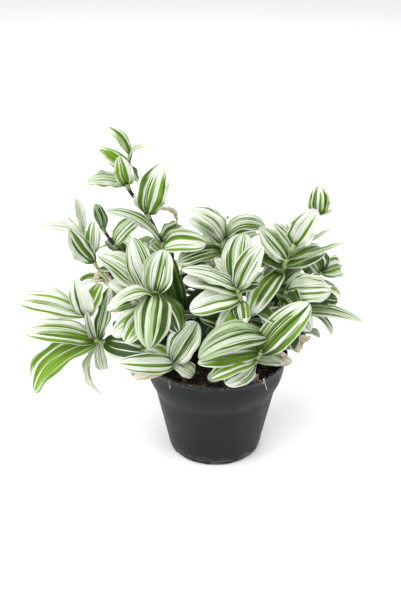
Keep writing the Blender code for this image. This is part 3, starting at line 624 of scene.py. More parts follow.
def sheath(route, radii, number, reach, width):
    """A leaf's sheath: a closed double wall round the stem, below and up to the leaf's joint.

    Its radius grows from the stem's to a mouth that opens by the cube of the share
    of its length, and more on the side where the leaf leaves, by one plus a cosine.
    """
    places, numbers = rounded_route(route, SHEATH_STEPS)
    lengths = np.append(0.0, np.cumsum(np.linalg.norm(np.diff(places, axis=0), axis=1)))
    mouth = min(np.interp(number, numbers, lengths), lengths[-1] - SHEATH_CLEAR)
    long = min(SHEATH_LENGTH, SHORTEST_SHEATH + SHEATH_SHARE * width)
    at = mouth + np.linspace(-long, SHEATH_LIP, SHEATH_RINGS)
    middle = np.stack([np.interp(at, lengths, places[:, axis]) for axis in range(3)], axis=-1)
    along = unit(middle[-1] - middle[0])
    side = unit(np.cross(along, (0.0, 1.0, 0.0)))
    way = unit(reach - along * (reach @ along))
    angle = np.arange(FINE_STEM_SIDES) * 2 * math.pi / FINE_STEM_SIDES
    facing = math.atan2(way @ np.cross(along, side), way @ side)
    stem = np.interp(number, (1.0, numbers[-1]), radii)
    share = np.linspace(0.0, 1.0, SHEATH_RINGS)[:, None]
    opening = SHEATH_BACK + (1 - SHEATH_BACK) * (1 + np.cos(angle - facing)) / 2
    outer = stem * SHEATH_FOOT + SHEATH_WALL * np.minimum(4 * share, 1) + SHEATH_FLARE * share ** 3 * opening
    points, quads, _ = tube(middle, outer, FINE_STEM_SIDES)
    inner = np.maximum(outer - SHEATH_SKIN, stem * SHEATH_INSIDE)
    within, inner_quads, _ = tube(middle, inner, FINE_STEM_SIDES)
    count = len(points)
    first = np.arange(FINE_STEM_SIDES)
    last = first + count - FINE_STEM_SIDES
    foot = np.stack((np.roll(first, -1), first, count + first, count + np.roll(first, -1)), axis=-1)
    lip = np.stack((last, np.roll(last, -1), count + np.roll(last, -1), count + last), axis=-1)
    faces = np.vstack((quads, inner_quads[:, ::-1] + count, foot, lip))
    return np.vstack((points, within)), faces, np.tile(np.repeat(share[:, 0], FINE_STEM_SIDES), 2)


def stem_material():
    """Stem skin: green, pink or purple-black by the shoot's tint, in patches, and pale at the sheaths."""
    material, tree, shader = new_material("stem skin")
    place = own_place(tree)
    fine, patches = grain(tree, place, STEM_GRAIN)
    tint, sheathed, _ = own_values(tree, "skin")
    streak = stretched_noise(tree, place, STREAK_STRETCH)
    mottled = swung(tree, patches, 0.5, tint)
    purple = smooth_step(tree, mottled, 0.35, 0.80)
    pink = smooth_step(tree, mottled, 0.05, 0.45)
    young = mixed(tree, product(tree, pink, 0.75), STEM_GREEN, STEM_PINK)
    bare = mixed(tree, purple, young, STEM_PURPLE)
    veined = mixed(tree, smooth_step(tree, streak, 0.48, 0.62), SHEATH_PALE, STEM_GREEN)
    blushed = mixed(tree, product(tree, purple, 0.30), veined, STEM_PURPLE)
    tree.links.new(mixed(tree, sheathed, bare, blushed), shader.inputs["Base Color"])
    tree.links.new(calc(tree, "MULTIPLY_ADD", fine, 0.15, 0.34), shader.inputs["Roughness"])
    shader.inputs["Specular IOR Level"].default_value = 0.3
    bump(tree, shader, calc(tree, "ADD", fine, streak), 0.35, 0.00015)
    return material


STEM_SKIN = stem_material()


# Stems at the back and the sides, by one rule: where each stands, which way it leans
# (degrees from +X), how far out and how high its end lies, and how many blades it has
BACK_STEMS = {
    "shoot_back_left": (-30, 34, 140, 52, 150, 10),
    "shoot_back": (6, 42, 96, 40, 160, 10),
    "shoot_back_right": (32, 36, 52, 50, 158, 10),
    "shoot_right_side": (46, 8, 27, 38, 128, 8),
    "shoot_back_low": (-6, 50, 108, 52, 112, 8),
    "shoot_left_side": (-48, 10, 158, 46, 138, 9),
}
BACK_RADII = (1.7, 1.1)
BACK_PURPLE = 0.35


def lean_out(lean):
    """The level direction in which a back stem leans."""
    return np.array((math.cos(math.radians(lean)), math.sin(math.radians(lean)), 0.0))


def back_route(x, y, lean, reach, height):
    """Upright out of the soil, then out by share^1.3 and up by 1.55 share - 0.55 share^2."""
    route = [(x, y, STEM_FOOT), (x, y, STEM_CLEAR)]
    for share in (0.3, 0.65, 1.0):
        rise = (height - STEM_CLEAR) * (1.55 * share - 0.55 * share ** 2)
        route.append(tuple(np.array((x, y, STEM_CLEAR)) + lean_out(lean) * reach * share ** 1.3
                           + (0.0, 0.0, rise)))
    return tuple(route)


for name, (x, y, lean, reach, height, _) in BACK_STEMS.items():
    STEMS[name] = (back_route(x, y, lean, reach, height), BACK_RADII, BACK_PURPLE)
coarse_stems = {name: coarse_stem(route, radii) for name, (route, radii, _) in STEMS.items()}
grown = {name: [] for name in STEMS}


# The leaves: thin, fleshy and pointed, each clasping its stem by a short sheath.
# Bands of white, grey-green and green run from the base to the point, as wide as the
# blade allows, under a faint ribbing of veins. Undersides are paler and duller.
BLADE_THICKNESS = 0.66
ROOT_WIDTH = 1.4
ROOT_POWER = 0.60
TIP_POWER = 0.68
LONG_BLADE_ROWS = (0.0, 0.22, 0.50, 0.80, 1.0)
SHORT_BLADE_ROWS = (0.0, 0.26, 0.74, 1.0)
SHORT_BLADE = 44.0
CLEARANCE = 0.55
JOINED_SHARE = 0.15
SIGHT = np.array((0.0, 0.894, -0.448))
ACROSS = np.array((1.0, 0.0, 0.0))
UPRIGHT = np.array((0.0, 0.448, 0.894))
SIGHT_STEPS = (0, -4, 4, -8, 8, -12, 12, -17, 17, -23, 23, -30, 30)
SIDE_STEPS = (0, -5, 5, -10, 10, -15, 15)
SIDE_COST = 2.2
OTHERS_COST = 3
LEAF_SEED = 100
LID_HALF = 40.0
LID_RISE = 2.0
FINE_ROWS = 30
FINE_COLUMNS = 15
LEAF_THICKNESS = 0.42
EDGE_THICKNESS = 0.12
RIB_DEPTH = 0.30
RIB_HALF = 0.8
RIB_GROOVE = 0.4
ROW_CROWDING = 0.8
FINE_ROOT_HALF = 1.0
FINE_ROOT_POWERS = (0.50, 0.64)
FINE_TIP_POWERS = (0.46, 0.58)
POINT_HALF = 0.10
# Where the painted shade lies: an egg round the plant's heart, its reach, and how it fades
SHADE_CENTRE = np.array((0.0, 8.0, 105.0))
SHADE_REACH = np.array((80.0, 66.0, 66.0))
SHADE_EDGE = 1.10
SHADE_SOFTNESS = 0.42

# How leaves differ, each value drawn between two ends: shares of the length for the
# sickle and the turn down, shares of the half width for the next four, an angle for
# the twist, and counts of waves along the leaf. The rest is what dryness adds.
SICKLES = (-0.055, 0.055)
TURNS_DOWN = (0.02, 0.13)
NOTCHES = (0.02, 0.05)
RIPPLES = (0.08, 0.26)
SWELLINGS = (0.03, 0.09)
CUPS = (-0.16, 0.40)
TWISTS = (-0.28, 0.28)
RIPPLE_COUNTS = (1.6, 3.2)
NOTCH_COUNT = 2.3
LEAF_NUMBERS = (0, 40)
DRY_RIPPLE_COUNT = 1.5
DRY_RIPPLE = 0.25
DRY_CRUMPLE = 0.16

# Each look: share of green, green in the middle (or at the edges, below 0), how bright
# the green is, how grey the white is, how dry the leaf is, and how fine its stripes are
# The dark and shaded looks are deep green leaves with painted shade, for leaves that lie in the shade of
# others
LOOKS = {
    "striped": (0.46, 0.0, 0.36, 0.45, 0.0, 0.4),
    "bold": (0.56, 0.0, 0.34, 0.15, 0.0, 0.0),
    "light": (0.36, 0.0, 0.34, 0.25, 0.0, 0.1),
    "heart": (0.64, 0.45, 0.62, 0.20, 0.0, 0.2),
    "pale": (0.28, 0.0, 0.30, 0.90, 0.0, 1.0),
    "white": (0.18, 0.0, 0.45, 0.30, 0.0, 0.8),
    "edged": (0.46, -0.5, 0.60, 0.20, 0.0, 0.3),
    "rimmed": (0.92, 0.25, 0.20, 0.30, 0.0, 0.3),
    "green": (0.84, 0.20, 0.42, 0.40, 0.0, 0.4),
    "bright": (0.82, 0.30, 0.74, 0.20, 0.0, 0.3),
    "dark": (1.02, 0.10, 0.02, 0.40, 0.0, 0.3),
    "grey": (0.60, 0.05, 0.16, 0.90, 0.0, 0.8),
    "silver": (0.26, -0.20, 0.20, 1.70, 0.0, 1.0),
    "shaded": (0.62, 0.0, 0.18, 0.90, 0.0, 0.5),
    "dome": (0.46, 0.0, 0.06, 1.70, 0.0, 0.0),
    "curled": (0.45, 0.0, 0.55, 0.50, 0.15, 0.5),
    "dry": (0.10, 0.0, 0.20, 1.00, 1.0, 0.5),
}
LEAF_WHITE = (0.655, 0.67, 0.62, 1.0)
LEAF_EDGE = (0.38, 0.42, 0.33, 1.0)
LEAF_GREY = (0.26, 0.34, 0.19, 1.0)
LEAF_FRINGE = (0.31, 0.43, 0.15, 1.0)
LEAF_BRIGHT = (0.165, 0.300, 0.010, 1.0)
LEAF_MID = (0.095, 0.180, 0.014, 1.0)
LEAF_DARK = (0.022, 0.050, 0.004, 1.0)
LEAF_PAINTED_SHADE = (0.006, 0.018, 0.003, 1.0)
LEAF_UNDER = (0.40, 0.50, 0.24, 1.0)
LEAF_STRAW = (0.74, 0.70, 0.57, 1.0)
LEAF_BROWN = (0.25, 0.16, 0.09, 1.0)

# The streaks' noise: its stretch across the leaf, along it and from leaf to leaf, and
# its detail, for the bands, lines, veins and hairs, the tones of green and those of grey
STREAK_ROUGHNESS = 0.55
STREAKS = (
    ((3.1, 0.30, 1.9), 0.0),
    ((8.5, 0.75, 3.1), 1.0),
    ((19.0, 1.2, 4.7), 1.0),
    ((34.0, 1.6, 5.3), 2.0),
    ((5.2, 0.50, 9.3), 1.0),
    ((4.4, 0.45, 7.7), 2.0),
)


def half_width(share, width, root_power=ROOT_POWER, tip_power=TIP_POWER):
    """Half the blade's width: share^root_power (1 - share)^tip_power, scaled to width / 2 at most."""
    peak = root_power / (root_power + tip_power)
    top = peak ** root_power * (1 - peak) ** tip_power
    shape = np.clip(share, 0, 1) ** root_power * np.clip(1 - share, 0, 1) ** tip_power
    return width / 2 * shape / top


def midrib(blade, share):
    """The midrib's points and two directions at each: to the blade's right side, and up from it.

    The rib is the chord from root to tip plus 4 s (1 - s) times the arch along the
    facing direction, s being the share of the length.
    """
    root, tip, width, arch, fold, facing = blade
    axis = unit(tip - root)
    normal = unit(facing - axis * (facing @ axis))
    middle = root + np.outer(share, tip - root) + np.outer(arch * 4 * share * (1 - share), normal)
    slope = (tip - root) + np.outer(arch * 4 * (1 - 2 * share), normal)
    slope /= np.linalg.norm(slope, axis=1, keepdims=True)
    side = np.cross(slope, normal)
    side /= np.linalg.norm(side, axis=1, keepdims=True)
    return middle, side, np.cross(side, slope)


def coarse_blade(blade, start=0.0, swell=0.0):
    """Points and triangles of the blade's plain solid, for the clearance test."""
    root, tip, width, arch, fold, facing = blade
    rows = SHORT_BLADE_ROWS if np.linalg.norm(tip - root) < SHORT_BLADE else LONG_BLADE_ROWS
    share = np.array([start] + [row for row in rows if row > start])
    middle, side, up = midrib(blade, share)
    half = (np.maximum(half_width(share, width), ROOT_WIDTH / 2) + swell)[:, None]
    thick = (BLADE_THICKNESS / 2 + swell) / math.cos(fold)
    across = np.array((-1.0, 0.0, 1.0))[None, :, None]
    sheet = (middle[:, None] + across * (half * math.cos(fold) * side)[:, None]
             + np.abs(across) * (half * math.sin(fold) * up)[:, None])[:-1]
    upper = (sheet + thick * up[:-1, None]).reshape(-1, 3)
    lower = (sheet - thick * up[:-1, None]).reshape(-1, 3)
    point = tip + swell * unit(tip - root)
    points = np.vstack((upper, lower, point + thick * up[-1], point - thick * up[-1]))
    count = len(upper)
    top = halved(grid_quads(count // 3, 3))
    row = np.arange(count // 3 - 1) * 3
    walls = [np.stack((row + edge, row + edge + 3, row + edge + 3 + count, row + edge + count), axis=-1)
             for edge in (0, 2)]
    sides = np.vstack([halved(wall) for wall in walls])
    end, high, low = count - 3, 2 * count, 2 * count + 1
    ends = [(end, end + 1, high), (end + 1, end + 2, high), (count + end + 1, count + end, low),
            (count + end + 2, count + end + 1, low), (end, high, low), (end, low, count + end),
            (end + 2, low, high), (end + 2, count + end + 2, low), (0, count, count + 1),
            (0, count + 1, 1), (1, count + 1, count + 2), (1, count + 2, 2)]
    return points, np.vstack((top, top + count, sides)).tolist() + ends


def tree_of(meshes):
    """A search tree over several meshes' faces."""
    points, faces, count = [], [], 0
    for some_points, some_faces in meshes:
        points.append(some_points)
        faces += [tuple(corner + count for corner in face) for face in some_faces]
        count += len(some_points)
    return BVHTree.FromPolygons(np.vstack(points).tolist(), faces)


def tip_shifts():
    """Ways to tip a blade aside, the smallest first."""
    shifts = []
    for sight in SIGHT_STEPS:
        for across in SIDE_STEPS:
            for upright in SIDE_STEPS:
                cost = abs(sight) + SIDE_COST * (abs(across) + abs(upright))
                shifts.append((cost, len(shifts), sight * SIGHT + across * ACROSS + upright * UPRIGHT))
    return [shift for _, _, shift in sorted(shifts, key=lambda entry: entry[:2])]


def placed_blades(name, blades):
    """The shoot's blades in place, each tipped aside just enough to clear what is there already.

    Blades of one shoot may meet where they join the stem, so only their outer parts
    are compared with each other.
    """
    others = [pot_walls, soil_lid]
    for other in STEMS:
        if other != name:
            others += [coarse_stems[other]] + [coarse_blade(blade) for blade in grown[other]]
    others = tree_of(others)
    own = [coarse_stems[name]] + [coarse_blade(blade, JOINED_SHARE) for blade in grown[name]]
    placed = []
    for number, reach, width, arch, fold, facing in blades:
        root = route_place(STEMS[name][0], number)
        own_tree = tree_of(own)
        fewest, freest = None, None
        for shift in SHIFTS:
            blade = (root, root + np.array(reach, dtype=float) + shift, width, arch, fold,
                     np.array(facing, dtype=float))
            whole = tree_of([coarse_blade(blade, 0.0, CLEARANCE)])
            outer = tree_of([coarse_blade(blade, JOINED_SHARE, CLEARANCE)])
            met = len(others.overlap(whole)) * OTHERS_COST + len(own_tree.overlap(outer))
            if fewest is None or met < fewest:
                fewest, freest = met, blade
            if met == 0:
                break
        placed.append(freest)
        own.append(coarse_blade(freest, JOINED_SHARE))
    grown[name] += placed
    return placed


def closed_sheets(upper, lower):
    """Points and quads of two grids of points, closed by a wall round their edge."""
    rows, columns = upper.shape[:2]
    count = rows * columns
    quads = grid_quads(rows, columns)
    index = np.arange(count).reshape(rows, columns)
    border = np.concatenate((index[0, :-1], index[:-1, -1], index[-1, :0:-1], index[:0:-1, 0]))
    after = np.roll(border, -1)
    wall = np.stack((border, border + count, after + count, after), axis=-1)
    points = np.vstack((upper.reshape(-1, 3), lower.reshape(-1, 3)))
    return points, np.vstack((quads, quads[:, ::-1] + count, wall))


def fine_leaf(blade, look, draw):
    """Points, quads and values of one fine leaf: two sheets closed round their edge.

    Along the blade, s goes from 0 to 1 and its rib bends aside like a sickle, by
    sin(pi s). Across it, v goes from -1 to 1 and the point stands at v times the half
    width, which a sine notches a little at the edges. Its lift is |v|^1.4 times the
    fold, plus a swelling sin(pi |v|) of each half, a cup v^2, a ripple
    |v|^3 sin(2 pi k s) at the edges, less a turn down towards the tip, plus a crumple
    of two sines if it is dry, and s^2 times an angle twists it all. The thickness falls
    to the edge by v^4, and a bell across the rib moves both sheets down, the lower one
    more. The painted shade, which darkens leaves deep in the plant, is a straight line
    of the distance from the plant's heart, in which each axis has its own reach, held
    between 0 and 1.
    """
    root, tip, width, arch, fold, facing = blade
    green, heart, bright, grey, dry, fine = LOOKS[look]
    share = np.linspace(0.0, 1.0, FINE_ROWS)
    share = share - ROW_CROWDING * np.sin(2 * math.pi * share) / (2 * math.pi)
    across = np.sin(np.linspace(-math.pi / 2, math.pi / 2, FINE_COLUMNS))
    middle, side, up = midrib(blade, share)
    length = np.linalg.norm(tip - root)
    s, v, away = share[:, None], across[None, :], np.abs(across)[None, :]
    belly = np.sin(math.pi * s)
    middle = middle + draw.uniform(*SICKLES) * length * belly * side
    ripple_counts = draw.uniform(*RIPPLE_COUNTS, 2) * (1 + DRY_RIPPLE_COUNT * dry)
    phases = draw.uniform(0, 2 * math.pi, 3)

    half = half_width(share, width, draw.uniform(*FINE_ROOT_POWERS), draw.uniform(*FINE_TIP_POWERS))
    half = np.maximum(half, np.where(share > 0.5, POINT_HALF, FINE_ROOT_HALF))[:, None]
    notch = draw.uniform(*NOTCHES) * np.sin(2 * math.pi * NOTCH_COUNT * s + phases[2] + 2 * v)
    half = half * (1 + notch * away)
    waves = np.sin(2 * math.pi * np.where(v > 0, *ripple_counts) * s + np.where(v > 0, *phases[:2]))
    ripple = (draw.uniform(*RIPPLES) + DRY_RIPPLE * dry) * width / 2 * away ** 3 * waves * belly
    swelling = draw.uniform(*SWELLINGS) * width / 2 * np.sin(math.pi * away) * belly
    cup = draw.uniform(*CUPS) * half * away ** 2 * belly
    turn_down = draw.uniform(*TURNS_DOWN) * length * np.clip(2 * s - 1, 0, 1) ** 2
    creases = np.sin(9 * s + 4 * v + phases[2]) + 0.6 * np.sin(21 * s - 7 * v + phases[0])
    crumple = dry * DRY_CRUMPLE * width * creases * belly
    lift = half * math.sin(fold) * away ** 1.4 + swelling + cup + ripple - turn_down + crumple
    twist = draw.uniform(*TWISTS) * s ** 2
    aside = half * math.cos(fold) * v
    aside, lift = aside * np.cos(twist) - lift * np.sin(twist), aside * np.sin(twist) + lift * np.cos(twist)

    sheet = middle[:, None] + aside[..., None] * side[:, None] + lift[..., None] * up[:, None]
    thick = EDGE_THICKNESS / 2 + (LEAF_THICKNESS - EDGE_THICKNESS) / 2 * (1 - away ** 4)
    rib = RIB_DEPTH * np.exp(-(v * half / RIB_HALF) ** 2) * (1 - s ** 2)
    points, faces = closed_sheets(sheet + (thick - RIB_GROOVE * rib)[..., None] * up[:, None],
                                  sheet - (thick + rib)[..., None] * up[:, None])
    count = len(points)
    place = np.tile(np.stack(np.broadcast_arrays(s, v, half), axis=-1).reshape(-1, 3), (2, 1))
    tone = np.tile((green, heart, draw.uniform(*LEAF_NUMBERS)), (count, 1))
    state = np.column_stack((np.repeat((0.0, 1.0), count // 2), np.tile((bright, grey), (count, 1))))
    # Painted shade: points near the plant's heart are marked to be darkened in the leaf colour
    apart = np.linalg.norm((points - SHADE_CENTRE) / SHADE_REACH, axis=1)
    shade = np.clip((SHADE_EDGE - apart) / SHADE_SOFTNESS, 0, 1)
    mood = np.column_stack((np.tile((dry, fine), (count, 1)), shade))
    return points, faces, place, tone, state, mood


def joined(tree, x, y, z):
    """The socket that holds the place (x, y, z)."""
    return put(tree, "CombineXYZ", {0: x, 1: y, 2: z}).outputs[0]


def leaf_material():
    """Leaf skin: bands of noise that is stretched along the blade, in whites, greys and greens.

    The leaf_place attribute holds the share of the length, the place across and the
    half width; leaf_tone the share of green, its middle weight and a number of the
    leaf's own; leaf_state the underside, the brightness and the greyness; leaf_mood
    the dryness, the fineness of the stripes and the painted shade inside the plant.
    """
    material, tree, shader = new_material("striped leaf")
    along, across, half = own_values(tree, "leaf_place")
    green, heart, own = own_values(tree, "leaf_tone")
    under, bright, grey = own_values(tree, "leaf_state")
    dry, fine, shaded = own_values(tree, "leaf_mood")

    # The bands' level across the leaf: white where it is low, green where it is high
    drift = noise(tree, joined(tree, product(tree, along, 1.7), own, product(tree, across, 0.6)), 1.0, 1.0)
    wandering = swung(tree, drift, 0.22, across)
    away = calc(tree, "ABSOLUTE", across)
    place = joined(tree, wandering, along, own)
    bands, lines, veins, hairs, tones, greys = (
        stretched_noise(tree, place, stretch, detail, STREAK_ROUGHNESS) for stretch, detail in STREAKS)
    even = calc(tree, "SINE", calc(tree, "MULTIPLY_ADD", wandering, 10.5, own))
    broad = calc(tree, "MULTIPLY_ADD", even, calc(tree, "MULTIPLY_ADD", fine, -0.22, 0.26),
                 swung(tree, bands, 1.9, 0.5))
    finer = calc(tree, "MULTIPLY_ADD", fine, 1.6, 0.95)
    level = swung(tree, veins, finer, swung(tree, lines, finer, broad))
    level = swung(tree, green, 1.05, level)
    level = calc(tree, "MULTIPLY_ADD", heart, calc(tree, "SUBTRACT", 0.45, away), level)
    level = calc(tree, "ADD", level, smooth_step(tree, along, 0.30, 0.02, 0.0, 0.38))
    level = calc(tree, "SUBTRACT", level, smooth_step(tree, along, 0.66, 1.0, 0.0, 0.36))
    rim = smooth_step(tree, swung(tree, lines, 0.30, away), 0.84, 0.95, 0.0, 0.70)
    level = calc(tree, "SUBTRACT", level, rim)

    # The whites, greyed in streaks, and the greens, in three tones
    half_tones = smooth_step(tree, swung(tree, veins, product(tree, fine, 0.9), greys), 0.44, 0.58)
    greyed = calc(tree, "MULTIPLY_ADD", smooth_step(tree, veins, 0.53, 0.62), 0.42,
                  product(tree, grey, half_tones))
    greyed = calc(tree, "ADD", greyed, smooth_step(tree, grey, 1.0, 1.8, 0.0, 0.5))
    white = mixed(tree, greyed, LEAF_WHITE, LEAF_GREY)
    white = mixed(tree, smooth_step(tree, away, 0.88, 1.0, 0.0, 0.9), white, LEAF_EDGE)
    fringed = mixed(tree, smooth_step(tree, level, 0.32, 0.50, 0.0, 0.70), white, LEAF_FRINGE)
    tone = swung(tree, hairs, 1.3, swung(tree, tones, 2.0, bright))
    tone = calc(tree, "MULTIPLY_ADD", calc(tree, "SUBTRACT", 0.75, level), 0.25, tone)
    # Painted shade: the green is darkened towards the root, where the leaves overlap at the stem
    tone = calc(tree, "SUBTRACT", tone, smooth_step(tree, along, 0.22, 0.0, 0.0, 0.35))
    deep = mixed(tree, smooth_step(tree, tone, 0.0, 0.5), LEAF_DARK, LEAF_MID)
    leafy = mixed(tree, smooth_step(tree, tone, 0.4, 1.0), deep, LEAF_BRIGHT)

    # All together: the underside is paler, leaves deep inside the plant get painted shade, dry ones straw
    banded = mixed(tree, smooth_step(tree, level, 0.46, 0.56), fringed, leafy)
    below = mixed(tree, product(tree, under, 0.45), banded, LEAF_UNDER)
    # Painted shade: leaves deep in the plant are mixed towards near-black green
    inside = mixed(tree, product(tree, shaded, 0.94), below, LEAF_PAINTED_SHADE)
    scorch = smooth_step(tree, calc(tree, "MULTIPLY_ADD", lines, 0.6, hairs), 0.72, 0.98)
    scorched = mixed(tree, scorch, LEAF_STRAW, LEAF_BROWN)
    tree.links.new(mixed(tree, dry, inside, scorched), shader.inputs["Base Color"])
    gloss = calc(tree, "MULTIPLY_ADD", hairs, 0.14, 0.34)
    gloss = calc(tree, "MULTIPLY_ADD", under, 0.14, gloss)
    tree.links.new(calc(tree, "MULTIPLY_ADD", dry, 0.3, gloss), shader.inputs["Roughness"])
    groove = smooth_step(tree, product(tree, away, half), 0.55, 0.0, 0.0, -1.4)
    ribs = calc(tree, "MULTIPLY_ADD", hairs, 1.2, product(tree, lines, 0.8))
    bump(tree, shader, calc(tree, "ADD", ribs, groove), 0.55, 0.00022)
    # Painted shade also dims the reflections of leaves deep in the plant
    tree.links.new(calc(tree, "MULTIPLY_ADD", shaded, -0.22, 0.26), shader.inputs["Specular IOR Level"])
    shader.inputs["Subsurface Weight"].default_value = 0.15
    shader.inputs["Subsurface Radius"].default_value = (0.6, 1.0, 0.25)
    shader.inputs["Subsurface Scale"].default_value = 0.0016
    return material


LEAF_SKIN = leaf_material()
SHIFTS = tip_shifts()
pot_walls = turned(pot_profile(), POT_SIDES)
lid_corners = [(x * LID_HALF, y * LID_HALF, SOIL_TOP + LID_RISE)
               for x, y in ((-1, -1), (1, -1), (1, 1), (-1, 1))]
soil_lid = (np.array(lid_corners), [(0, 1, 2), (0, 2, 3)])


def leaves_piece(name, nodes, placed, looks, draw):
    """One piece of all the placed leaves, which stands for the nodes."""
    parts = [fine_leaf(blade, look, draw) for blade, look in zip(placed, looks)]
    counts = np.cumsum([0] + [len(part[0]) for part in parts])
    faces = np.vstack([part[1] + count for part, count in zip(parts, counts)])
    points, place, tone, state, mood = (np.vstack([part[at] for part in parts]) for at in (0, 2, 3, 4, 5))
    piece = mesh_piece(name, points, faces.tolist(), LEAF_SKIN, leaf_place=place, leaf_tone=tone,
                       leaf_state=state, leaf_mood=mood)
    stand_for(piece, "striped_leaf", *nodes)


def stem_piece(name, placed, rows):
    """One piece of the shoot's stem and its leaves' sheaths, which stands for the node."""
    route, radii, purple = STEMS[name]
    radii = np.multiply(radii, 1 + STOUTNESS * purple)
    stem, faces, along = swollen_stem(route, radii, [row[0] for row in rows])
    points = [stem]
    skins = [np.column_stack((np.full(len(along), purple), np.zeros(len(along)), along))]
    count = len(stem)
    for (number, _, width, *_), (root, tip, *_) in zip(rows, placed):
        more, quads, share = sheath(route, radii, number, tip - root, width)
        sheathed = np.clip(share * SHEATH_FADE, 0, 1)
        skins.append(np.column_stack((np.full(len(share), purple), sheathed, share)))
        points.append(more)
        faces = faces + (quads + count).tolist()
        count += len(more)
    piece = mesh_piece(name + "_stem", np.vstack(points), faces, STEM_SKIN, skin=np.vstack(skins))
    stand_for(piece, "striped_leaf", name)


def grow(name, rows):
    """Grow a shoot's leaves from rows of blade sizes, each with its look, and its stem."""
    placed = placed_blades(name, [row[:6] for row in rows])
    draw = np.random.default_rng(LEAF_SEED + list(STEMS).index(name))
    leaves_piece(name + "_leaves", (name,), placed, [row[6] for row in rows], draw)
    stem_piece(name, placed, rows)


# Each row of the shoots below gives a blade's place along its stem's route (counted in
# route points), its tip seen from its root, its width, how far its middle rises over its
# chord, the angle by which its halves fold up, the way its upper side faces and its look.


# The tall shoot: it climbs out at the left and bears the broad blade with four clear
# bands, a knot of young leaves at its end, and a dry one that curls beside it.
grow("shoot_tall", (
    (8.7, (-14, -7, 24), 10, 2, 0.2, (0.5, -0.8, 0.4), "heart"),
    (8.95, (9, -3, 5), 5, 2, 0.5, (0.2, -0.6, 0.8), "pale"),
    (8.0, (18, -4, 17), 7, 5, 0.4, (-0.5, -0.3, 0.8), "curled"),
    (7.9, (-17, -9, 18), 13, 2, 0.2, (0.3, -0.9, 0.3), "heart"),
    (7.1, (-4, -12, 26), 16, 2, 0.3, (0, -1, 0.2), "heart"),
    (8.0, (8, 4, -22), 10, 2, 0.3, (1, -0.3, 0.3), "shaded"),
    (7.1, (-31, -8, 6), 16, 2, 0.2, (0, -0.7, 0.8), "pale"),
    (5.5, (12, -14, 45), 26, 4, 0.15, (0, -1, 0.25), "bold"),
    (4.3, (-39, -14, 35), 13, 6, 0.2, (0.4, -0.5, 0.8), "pale"),
    (4.1, (34, -18, 12), 20, 7, 0.2, (0, -0.75, 0.7), "edged"),
    (3.8, (11, -16, -52), 22, 7, 0.1, (0.1, -0.9, 0.3), "green"),
    (5.4, (24, 4, -11), 6, 11, 0.3, (0.3, 0, 1), "dry"),
    (4.3, (18, 16, 8), 17, 4, 0.2, (0, -0.6, 0.9), "green"),
    (3.9, (-11, 2, 11), 13, 2, 0.2, (0.2, -0.9, 0.3), "green"),
))


# The thin shoot behind the left side: a dark stem with a folded young leaf at its end
# and one broad pale leaf that leans inwards.
grow("shoot_left_high", (
    (4.8, (-5, -2, 23), 11, 1, 0.3, (0, -1, 0.3), "grey"),
    (5.0, (-9, -3, -3), 4, 2, 0.3, (0, -0.5, 0.9), "pale"),
    (4.0, (22, 2, 24), 15, 5, 0.2, (-0.3, -0.8, 0.5), "edged"),
))


# The middle left shoot: a cupped, banded leaf stands up at its end beside near-white
# new growth, and withered sheaths hang lower down.
grow("shoot_left_mid", (
    (6.0, (-15, -7, 28), 22, -3, 0.7, (0.1, -1, 0.3), "bold"),
    (6.9, (-33, -12, 12), 9, 2, 0.3, (0, -0.7, 0.8), "white"),
    (7.0, (-4, -1, 28), 9, 1, 0.4, (0.4, -0.9, 0.1), "white"),
    (7.0, (-14, 1, 14), 2.5, 1, 0.4, (0, -0.8, 0.5), "dry"),
    (6.3, (3, 6, 26), 14, 2, 0.4, (0, -0.9, 0.3), "striped"),
    (5.0, (-5, -3, -12), 6, 2, 0.3, (-0.6, -0.7, 0.2), "dry"),
    (4.6, (4, -3, -12), 5, 2, 0.3, (0.3, -0.9, 0.2), "dry"),
))


# The left front shoot: a crown of large striped leaves, with a domed leaf in front
# that shows its pale, dark-banded underside.
grow("shoot_left_front", (
    (4.6, (7, 7, 33), 24, 2, 0.2, (0, -1, 0.2), "grey"),
    (4.2, (-16, 8, 45), 22, 2, 0.2, (0.1, -1, 0.3), "pale"),
    (3.9, (-42, 3, 37), 24, 4, 0.2, (0.2, -0.7, 0.7), "pale"),
    (3.5, (-36, -8, 27), 18, 3, 0.2, (0.1, -0.85, 0.6), "light"),
    (4.5, (-10, -10, -9), 9, 2, 0.3, (0, -0.9, 0.4), "green"),
    (4.9, (-5, -28, -32), 31, 9, -0.45, (0, -0.75, 0.7), "dome"),
    (3.7, (-23, -22, -21), 18, 4, 0.1, (0, -0.8, 0.5), "bright"),
    (4.1, (-35, -10, -5), 12, 12, 0.1, (0, -0.4, 0.9), "white"),
    (3.3, (-36, -24, -5), 20, 6, -0.2, (0, -0.8, 0.6), "white"),
    (4.75, (14, -20, -25), 21, 5, -0.2, (0.1, -0.8, 0.6), "rimmed"),
    (2.4, (-22, -14, -10), 16, 4, 0.1, (0, -0.8, 0.6), "dark"),
))


